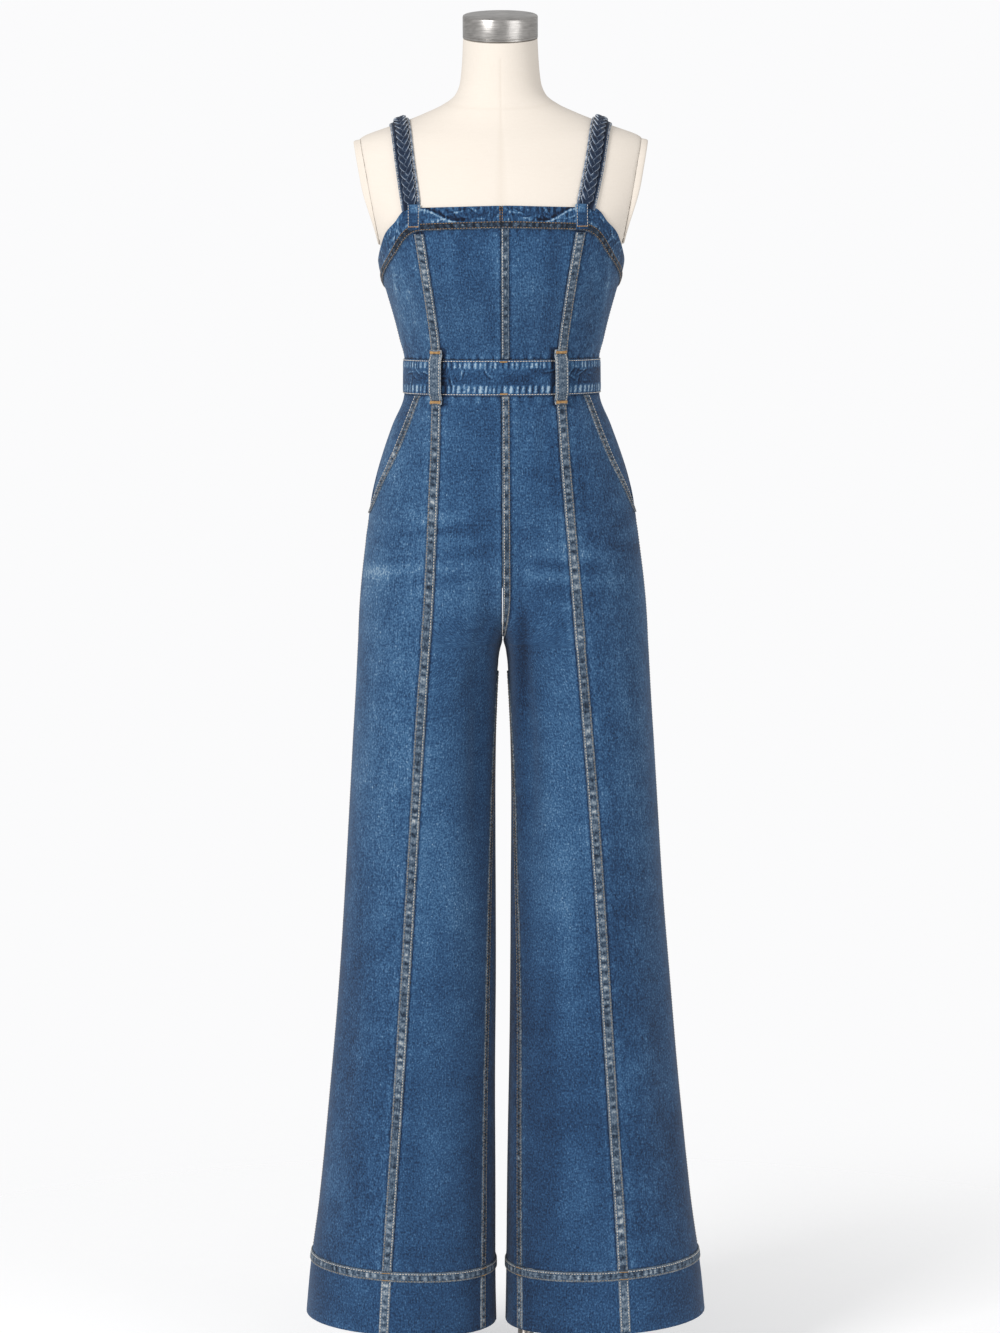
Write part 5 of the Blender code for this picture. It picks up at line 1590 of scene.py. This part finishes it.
def makeForm():
    look = dressForm
    heights = np.concatenate([
        [look["foot"] + 0.0012], np.linspace(1.008, 1.50, 66), np.linspace(1.505, 1.548, 16)[1:],
        np.linspace(1.5495, 1.612, 40), np.linspace(1.616, look["neckTop"], 12),
    ])
    columns = look["around"]
    angles = 2 * np.pi * np.arange(columns) / columns
    a, h = np.meshgrid(angles, heights)
    spots = formPoint(a.ravel(), h.ravel()).reshape(*a.shape, 3)
    # the cut armholes: whatever lies beyond the leaning plane is brought back onto it
    top, lean = look["plateTop"], look["plateLean"]
    limit = top[0] + lean * (spots[..., 2] - top[1])
    over = np.abs(spots[..., 0]) > limit
    spots[..., 0] = np.where(over, np.sign(spots[..., 0]) * limit, spots[..., 0])
    x, y, z = spots[..., 0], spots[..., 1], spots[..., 2]
    line = hump(x, 0.0011) * (z < 1.640)
    neckLine = hump(h - 1.590 + 0.9 * np.abs(y) * (y < 0) * 0.25, 0.0016)
    groove = look["seam"] * np.maximum(line, neckLine * 0.8)
    away = unit(np.stack([x, y, 0 * z], -1))
    spots = spots - away * groove[..., None]
    tone = -0.16 * np.maximum(line, 0.55 * neckLine)
    count = spots[..., 0].size
    points = np.concatenate([spots.reshape(-1, 3), [[0, 0, look["foot"]]], [[0, 0, look["neckTop"]]]])
    faces = ringFaces(len(heights), columns).tolist()
    faces += fan(0, columns, count, False) + fan(count - columns, columns, count + 1, True)
    piece = meshPiece("form_cover", points, faces, linen, {"tone": np.concatenate([tone.ravel(), [0, 0]])})
    sharpen(piece, 50)
    settle(piece, ["form_torso"])
    print("dress form made")


def formDepth(x, height, behind):
    half, front, back, power = readRows(formRows, height)
    share = 1.0 - np.minimum(np.abs(x) / half, 1.0) ** power
    return np.where(behind, back, front) * share ** (1 / power)


def makeArmPlates():
    look = dressForm
    steps = 56
    around = np.linspace(0, 2 * np.pi, 2 * steps, endpoint=False)
    height = look["plateFoot"] + (look["plateHead"] - look["plateFoot"]) * (0.5 - 0.5 * np.cos(around))
    behind = around > np.pi
    x = look["plateTop"][0] + look["plateLean"] * (height - look["plateTop"][1])
    y = np.where(behind, 1, -1) * np.maximum(formDepth(x, height, behind) - 0.0010, 0.0030)
    y = np.convolve(np.concatenate([y[-3:], y, y[:3]]), np.ones(7) / 7, "valid")
    away = unit(np.array([1.0, 0.0, -look["plateLean"]]))
    outline = np.stack([x + 0.0003, y, height], 1)
    middle = outline.mean(0)
    rings = []
    thick = look["plateThick"] * 1000
    for out, inset in (
        (0.0, 0.0), (0.3, 0.0), (thick - 2.2, 0.0), (thick - 1.0, 0.35), (thick - 0.25, 1.1), (thick, 2.4),
        (thick, 7.0), (thick, 20.0),
    ):  # millimetres out from the armhole and in from the rim
        inward = unit(middle - outline)
        swell = 0.30 + 0.98 * smoothStep((height - look["plateFoot"]) / 0.075)
        rings.append(outline + inward * inset / 1000 + away * (out * swell)[:, None] / 1000)
    count = len(outline)
    for label, side in sides.items():
        centres = [[middle + away * look["plateThick"] * 1.2], [middle]]
        points = np.concatenate(rings + centres) * np.array([side, 1, 1])
        faces = ringFaces(len(rings), count).tolist()
        faces += fan((len(rings) - 1) * count, count, len(rings) * count, True)
        faces += fan(0, count, len(rings) * count + 1, False)
        if side < 0:
            faces = [f[::-1] for f in faces]
        tone = np.zeros(len(points))
        # painted shade: the outer rings of the plate's rim are darker, as a shadowed outline
        tone[2 * count:4 * count] = -0.10
        piece = meshPiece(f"arm_disc_{label}", points, faces, linen, {"tone": tone})
        sharpen(piece, 60)
        settle(piece, [f"arm_plate_{label}"])


makeForm()
makeArmPlates()


# Stand and neck cap, turned from steel

stand = {
    "poleX": 0.0250,
    "pole": 0.0100,
    "base": 0.1650,
    "baseThick": 0.0100,
    "collar": 0.0190,
    "collarHigh": 0.0350,
    "flange": 0.0330,
    "flangeThick": 0.0060,
    "cap": 0.0455,
    "capHigh": 0.0275,
}


def turned(name, outline, centre, tilt, solid, sidesCount=96):
    # outline: radius and height pairs from the middle of the foot to the middle of the top
    outline = np.array(outline)
    angles = 2 * np.pi * np.arange(sidesCount) / sidesCount
    inner = outline[1:-1]
    points = np.stack([
        np.outer(inner[:, 0], np.cos(angles)), np.outer(inner[:, 0], np.sin(angles)),
        np.repeat(inner[:, 1:], sidesCount, 1),
    ], -1).reshape(-1, 3)
    points = np.concatenate([points, [[0, 0, outline[0, 1]]], [[0, 0, outline[-1, 1]]]])
    total = len(inner) * sidesCount
    faces = ringFaces(len(inner), sidesCount).tolist()
    faces += fan(0, sidesCount, total, False) + fan(total - sidesCount, sidesCount, total + 1, True)
    cos, sin = math.cos(tilt), math.sin(tilt)
    spun = np.array([[1, 0, 0], [0, cos, -sin], [0, sin, cos]])
    points = points @ spun.T + np.array(centre)
    piece = meshPiece(name, points, faces, steel)
    sharpen(piece, 35)
    settle(piece, [solid])


def easedRod(radius, low, high, ease):
    part = 0.3 * ease
    return [
        (0, low), (radius - ease, low), (radius - part, low + part), (radius, low + ease),
        (radius, high - ease), (radius - part, high - part), (radius - ease, high), (0, high),
    ]


def makeStand():
    look, gap = stand, cloth["gap"]
    at = (look["poleX"], 0.0, 0.0)
    collarTop = look["baseThick"] + look["collarHigh"]
    flangeLow = dressForm["foot"] - gap - look["flangeThick"]
    turned("stand_base", easedRod(look["base"], 0.0, look["baseThick"], 0.0020), at, 0, "base_plate", 160)
    turned("stand_collar", [
        (0, look["baseThick"] + gap), (look["collar"], look["baseThick"] + gap), (look["collar"], 0.030),
        (look["collar"] - 0.0006, 0.0306), (look["collar"] - 0.0006, 0.0316), (look["collar"], 0.0322),
        (look["collar"], collarTop - 0.0015), (look["collar"] - 0.0015, collarTop), (0, collarTop),
    ], at, 0, "base_collar")
    pole = easedRod(look["pole"], collarTop + gap, flangeLow - gap, 0.0008)
    flange = easedRod(look["flange"], flangeLow, dressForm["foot"] - gap, 0.0010)
    turned("stand_pole", pole, at, 0, "pole", 64)
    turned("stand_flange", flange, at, 0, "form_flange")
    cap = look["cap"]
    turned("neck_cap_steel", [
        (0, 0), (cap - 0.0008, 0), (cap, 0.0008), (cap, 0.0030), (cap - 0.0004, 0.0034), (cap, 0.0038),
        (cap, look["capHigh"] - 0.0022), (cap - 0.0005, look["capHigh"] - 0.0008),
        (cap - 0.0020, look["capHigh"]), (0, look["capHigh"]),
    ], (0.0, -0.0012, dressForm["neckTop"] + gap), dressForm["neckTilt"], "neck_cap", 128)
    print("stand made")


makeStand()


# Straps with a braid sewn along them

strapRows = np.array([(0.00, 0.1075), (0.38, 0.1235), (0.50, 0.1240), (1.00, 0.0920)])
strap = {
    "width": 0.0250,
    "thick": 0.0022,
    "clear": 0.0012,
    "foot": 0.0012,
    "tuck": 0.0085,  # the outer corner of its front end reaches this far down behind the band
    "lean": 0.0060,  # on the wearer's left the strap's foot lies this much further in
    "leanEnds": 0.38,
    "keeperOut": {"left": 0.0958, "right": 0.1036},  # of the tab over the band, from the centre
    "keeperRun": (1.4640, 1.4340),  # from its top to its foot
    "keeperWide": 0.0164,
    "keeperThick": 0.0026,
    "eye": (0.006, 1.400),  # y and z of the point that the strap's places are seen from
    "braidWidth": 0.0160,
    "braidIn": 0.0020,  # the braid lies this much nearer the neck than the strap's middle
    "strandWidth": 0.0068,
    "strandThick": 0.0021,
    "weave": 0.00115,  # a strand rises by twice this where it crosses over
    "braidPitch": 0.0315,  # length in which a strand comes back to its own side
    "topEdgeHigh": 1.4630,
}


def formRidge(x):
    low, high = np.full(x.shape, 1.500), np.full(x.shape, 1.600)
    for _ in range(30):
        middle = (low + high) / 2
        wide = readRows(formRows, middle)[0] > x
        low, high = np.where(wide, middle, low), np.where(wide, high, middle)
    return low


def strapSpot(side, share, shift=0.0):
    share = np.asarray(share, float)
    x = readRows(strapRows, share)[0]
    if side > 0:
        x = x - strap["lean"] * np.maximum(0.0, 1 - share / strap["leanEnds"]) ** 2
    frontFoot = np.full(x.shape, strap["topEdgeHigh"] + strap["foot"])
    backFoot = np.full(x.shape, float(topEdge(cloth["backSeam"])[0]) + strap["foot"])
    eyeY, eyeZ = strap["eye"]
    first = np.arctan2(frontFoot - eyeZ, -formDepth(x, frontFoot, np.zeros(x.shape, bool)) - eyeY)
    last = np.arctan2(backFoot - eyeZ, formDepth(x, backFoot, np.ones(x.shape, bool)) - eyeY)
    angle = first + share * (last - first)
    x = x + shift
    ridge = formRidge(x)
    low, high = np.full(x.shape, 0.02), np.full(x.shape, 0.30)
    for _ in range(36):
        middle = (low + high) / 2
        y, z = eyeY + middle * np.cos(angle), eyeZ + middle * np.sin(angle)
        within = (z < ridge) & (np.abs(y) < formDepth(x, z, y > 0))
        low, high = np.where(within, middle, low), np.where(within, high, middle)
    return np.stack([x, eyeY + low * np.cos(angle), eyeZ + low * np.sin(angle)], 1)


def strapFrames(side, count):
    fine = np.linspace(0, 1, 241)
    spots = strapSpot(side, fine)
    run = runAlong(spots)
    share = np.interp(np.linspace(0, run[-1], count + 1), run, fine)
    along = strapSpot(side, np.minimum(share + 0.03, 1)) - strapSpot(side, np.maximum(share - 0.03, 0))
    along = unit(along)
    beside = strapSpot(side, share, strap["width"] / 3) - strapSpot(side, share, -strap["width"] / 3)
    beside = unit(beside - (beside * along).sum(1, keepdims=True) * along)
    return strapSpot(side, share), along, beside, unit(np.cross(beside, along)), run[-1]


def makeStraps():
    rows, fineRows = 170, 460
    width, thick = strap["width"], strap["thick"]
    across = np.broadcast_to(roundProfile(width, 0.0011, 13), (rows + 1, 17))
    for label, side in sides.items():
        spot, along, beside, up, length = strapFrames(side, rows)
        run = np.linspace(0, length, rows + 1)
        fineSpot, _, fineBeside, fineUp, _ = strapFrames(side, fineRows)
        fineRun = np.linspace(0, length, fineRows + 1)
        mirror = np.array([side, 1.0, 1.0])
        base = spot[:, None] + (across - width / 2)[..., None] * beside[:, None]
        base = base + strap["clear"] * up[:, None]
        away = np.broadcast_to(up[:, None], base.shape)
        for end in (0, -1):
            base[end, :, 2] = spot[end, 2]
        base[0] -= along[0] * (strap["tuck"] * smoothStep((across[0] / width - 0.45) / 0.4))[:, None]
        toSide = np.minimum(across, width - across)
        rowsIn = hump(toSide - 0.0020, 0.0008)
        patches = ladder(run[:, None] + 0.002 * across / width, 95, 0.011)
        relief = -0.00025 * rowsIn + 0.00012 * patches * hump(toSide, 0.004)
        tone = 0.60 + 0.22 * hump(toSide, 0.0012) - 0.30 * smoothStep((toSide - 0.0026) / 0.0020)
        grain = grainOf(across, run[:, None], 7.0)
        marks = {"tone": tone, "rope": 0.5 * patches * hump(toSide, 0.004), "grain": grain}
        piece = ribbonPiece(
            f"strap_band_{label}", side, base * mirror, away * mirror, across, width, 0.0, thick, relief,
            marks, strapDenim,
        )
        piece["cutWide"], piece["cutLong"], piece["cutArea"] = width, length, width * length
        settle(piece, [f"strap_{label}"])
        for off in (0.0020, width - 0.0020):
            line = spot + (off - width / 2) * beside + strap["clear"] * up
            stitchAlong("pale", line * mirror, up * mirror, np.full(len(line), thick - 0.0002), seed=97,
                        radius=stitchLook["fine"]["strap"])
        # three flat strands that pass over and under each other
        reach = strap["braidWidth"] / 2 - strap["strandWidth"] / 2
        floor = strap["clear"] + thick + strap["strandThick"] * 0.55
        ring = 12
        points, faces, toneAll, ropeAll, grainAll = [], [], [], [], []
        offset = 0
        for k in range(3):
            phase = 2 * np.pi * fineRun / strap["braidPitch"] + 2 * np.pi * k / 3
            ends = smoothStep(fineRun / 0.006) * smoothStep((length - fineRun) / 0.006)
            sway = reach * np.sin(phase) * (0.35 + 0.65 * ends)
            lift = floor + strap["weave"] * (1 + np.sin(2 * phase)) * ends
            centre = fineSpot + (sway - strap["braidIn"])[:, None] * fineBeside + lift[:, None] * fineUp
            for end in (0, -1):
                centre[end, 2] = fineSpot[end, 2]
            tangent = unit(np.gradient(centre, axis=0))
            flatSide = unit(np.cross(tangent, fineUp))
            raised = np.cross(flatSide, tangent)
            angles = 2 * np.pi * np.arange(ring) / ring
            wide = strap["strandWidth"] / 2 * signedPower(np.cos(angles), 0.75)
            high = strap["strandThick"] / 2 * signedPower(np.sin(angles), 0.75)
            body = centre[:, None] + wide[:, None] * flatSide[:, None] + high[:, None] * raised[:, None]
            body[0, :, 2] = np.maximum(body[0, :, 2], fineSpot[0, 2] - 0.0002)
            points.append((body * mirror).reshape(-1, 3))
            total = len(centre) * ring
            strandFaces = (offset + ringFaces(len(centre), ring)).tolist()
            caps = np.arange(ring)[::-1], total - ring + np.arange(ring)
            strandFaces += [(offset + cap).tolist() for cap in caps]
            faces += [f[::-1] for f in strandFaces] if side < 0 else strandFaces
            offset += total
            rim = np.abs(np.cos(angles)) ** 3.2
            top = np.clip(np.sin(angles), 0, 1)
            toneAll.append(np.tile(0.30 + 0.66 * rim + 0.06 * top, len(centre)))
            ropeAll.append((0.25 * ladder(fineRun, 120 + k, 0.009)[:, None] * np.ones(ring)).ravel())
            over = np.broadcast_to(wide * 1.5, (len(centre), ring))
            grainAll.append(grainOf(over, fineRun[:, None], 9.0 + k).reshape(-1, 3))
        marks = {"tone": toneAll, "rope": ropeAll, "grain": grainAll, "inside": [np.zeros(offset)]}
        marks = {key: np.concatenate(values) for key, values in marks.items()}
        braid = meshPiece(f"strap_braid_{label}", np.concatenate(points), faces, strapDenim, marks)
        settle(braid, [f"braid_{label}"])
        declareCloth(piece)
        # short keeper where the strap meets the band
        heights = np.arange(*strap["keeperRun"], -0.0011)
        centreTurn = turnAt(strap["keeperOut"][label], np.minimum(heights, 1.4620))
        lit = smoothStep((heights - 1.4535) / 0.0020)[:, None] * np.linspace(1, 0, 11)
        half = strap["keeperWide"] / 2
        keeper = seamRibbon(
            f"strap_keeper_{label}", side, centreTurn, heights, half, half, 130, thick=strap["keeperThick"],
            tone=0.40 + 0.40 * lit, material=denim, ropes=0.5,
        )
        settle(keeper)
        for off in (0.0018 - half, half - 0.0018):
            line = centreTurn + turnFor(off, centreTurn, heights)
            stitchTurns("pale", side, line, heights, strap["keeperThick"] + 0.0001, seed=131,
                        radius=stitchLook["fine"]["strap"])
        barTack(side, centreTurn[-4:-3], heights[-4:-3], strap["keeperThick"] + 0.0003, 0.0135, 0.0012)
    print("straps made")


makeStraps()


# Zip down the centre back

zipLook = {
    "top": 1.3720,
    "foot": 1.1300,
    "tooth": 0.0021,  # from one tooth to the next on the same side
    "size": (0.0014, 0.0007, 0.00068),  # half of a tooth each way
    "tapeTop": 1.3830,
    "tapeStitches": (0.0048, 0.0062),  # from the centre
    "bevel": 0.00022,
}


def makeZip():
    points, faces = [], []
    box = np.array([(x, y, z) for x in (-1, 1) for y in (-1, 1) for z in (-1, 1)], float)
    quads = [(0, 1, 3, 2), (4, 6, 7, 5), (0, 4, 5, 1), (2, 3, 7, 6), (0, 2, 6, 4), (1, 5, 7, 3)]
    levels = np.arange(zipLook["top"] - 0.004, zipLook["foot"], -zipLook["tooth"])
    spots, _ = onCloth(1.0, np.ones(len(levels)), levels)
    for spot, level in zip(spots, levels):
        proud = waistband["proud"] + 0.0008 if cloth["waistLow"] <= level <= cloth["waistHigh"] else 0.0
        for side in (1, -1):
            centre = spot + np.array([0.0009 * side, 0.0006 + proud, -0.5 * zipLook["tooth"] * (side < 0)])
            taper = 1 - 0.25 * (box[:, 0] * side < 0)
            tooth = box * np.array(zipLook["size"]) * np.stack([np.ones(8), taper, taper], 1) + centre
            faces += [[v + len(points) * 8 for v in q] for q in quads]
            points.append(tooth)
    teeth = meshPiece("zip_teeth", np.concatenate(points), faces, brass, flat=True)
    bevel = teeth.modifiers.new("worn corners", "BEVEL")
    bevel.width = zipLook["bevel"]
    bevel.segments = 1
    settle(teeth)
    rows = np.arange(zipLook["tapeTop"], zipLook["foot"], -0.0025)
    onBand = (rows >= cloth["waistLow"]) & (rows <= cloth["waistHigh"])
    for side in sides.values():
        for off in zipLook["tapeStitches"]:
            line = 1.0 - turnFor(off, np.ones(len(rows)), rows)
            spots, away = onCloth(side, line, rows)
            stitchAlong("tan", spots, away, np.where(onBand, waistband["proud"] + 0.0006, 0.0), seed=141)
    for name in ("zip_slider", "zip_pull"):
        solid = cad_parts[name]
        solid.data.materials.clear()
        solid.data.materials.append(brass)
        for face in solid.data.polygons:
            face.material_index = 0
    print("zip made")


makeZip()
sewTogether()


# Stage, light and camera

studio = {
    "floorSize": 4.0,
    "floorFade": (0.35, 1.70),
    "backdrop": (0.965, 0.965, 0.972),
    "floorGlow": 0.22,
    "skyLight": 0.58,  # how strongly the pale room lights the cloth
    "key": {"place": (-2.6, -3.4, 2.6), "size": 1.5, "power": 136.0},
    "fill": {"place": (3.0, -3.2, 1.6), "size": 2.6, "power": 47.0},
}


def makeStudio():
    world = bpy.data.worlds.new("studio light")
    world.use_nodes = True
    tree = world.node_tree
    seen = tree.nodes["Background"]
    seen.inputs["Color"].default_value = (*studio["backdrop"], 1)
    light = node(tree, "ShaderNodeBackground", Strength=studio["skyLight"])
    light.inputs["Color"].default_value = (1.0, 1.0, 1.0, 1)
    blend = node(tree, "ShaderNodeMixShader")
    tree.links.new(node(tree, "ShaderNodeLightPath").outputs["Is Camera Ray"], blend.inputs["Fac"])
    tree.links.new(light.outputs["Background"], blend.inputs[1])
    tree.links.new(seen.outputs["Background"], blend.inputs[2])
    tree.links.new(blend.outputs["Shader"], tree.nodes["World Output"].inputs["Surface"])
    bpy.context.scene.world = world
    count, size = 64, studio["floorSize"]
    angles = 2 * np.pi * np.arange(count) / count
    rim = np.stack([size * np.cos(angles), size * np.sin(angles), 0 * angles], 1)
    points = np.concatenate([[[0, 0, 0]], rim])
    material, tree, shader = blankMaterial("pale studio floor")
    shader.inputs["Base Color"].default_value = (0.93, 0.93, 0.935, 1)
    shader.inputs["Roughness"].default_value = 0.9
    shader.inputs["Emission Color"].default_value = (1.0, 1.0, 1.0, 1)
    shader.inputs["Emission Strength"].default_value = studio["floorGlow"]
    where = node(tree, "ShaderNodeTexCoord").outputs["Object"]
    length = node(tree, "ShaderNodeVectorMath", operation="LENGTH")
    tree.links.new(where, length.inputs[0])
    fade = node(tree, "ShaderNodeMapRange", interpolation_type="SMOOTHSTEP")
    fade.inputs["From Min"].default_value, fade.inputs["From Max"].default_value = studio["floorFade"]
    tree.links.new(length.outputs["Value"], fade.inputs["Value"])
    clear = node(tree, "ShaderNodeBsdfTransparent")
    blendIt = node(tree, "ShaderNodeMixShader")
    tree.links.new(fade.outputs["Result"], blendIt.inputs["Fac"])
    tree.links.new(shader.outputs["BSDF"], blendIt.inputs[1])
    tree.links.new(clear.outputs["BSDF"], blendIt.inputs[2])
    tree.links.new(blendIt.outputs["Shader"], tree.nodes["Material Output"].inputs["Surface"])
    faces = [[0, i + 1, (i + 1) % count + 1] for i in range(count)]
    floor = meshPiece("studio_floor", points, faces, material)
    for name in ("key", "fill"):
        look = studio[name]
        lamp = bpy.data.lights.new(f"{name} light", "AREA")
        lamp.size, lamp.energy = look["size"], look["power"]
        light = bpy.data.objects.new(f"{name} light", lamp)
        light.location = look["place"]
        light.rotation_euler = (Vector((0, 0, 0.95)) - light.location).to_track_quat("-Z", "Y").to_euler()
        bpy.context.scene.collection.objects.link(light)


cameraLook = {
    "place": (-0.0037, -5.0, 1.435),
    "aim": (-0.0037, 0.0, 0.900),
    "roll": -0.0044,
    "lens": 36 * 4088 / 1333,
}


def makeCamera():
    data = bpy.data.cameras.new("photo camera")
    data.sensor_width, data.lens = 36.0, cameraLook["lens"]
    camera = bpy.data.objects.new("photo camera", data)
    camera.location = cameraLook["place"]
    turn = (Vector(cameraLook["aim"]) - camera.location).to_track_quat("-Z", "Y")
    camera.rotation_euler = turn.to_euler()
    camera.rotation_euler.rotate_axis("Z", cameraLook["roll"])
    bpy.context.scene.collection.objects.link(camera)
    bpy.context.scene.camera = camera


makeStudio()
makeCamera()
bpy.context.scene.view_settings.view_transform = "Standard"
print("studio made")
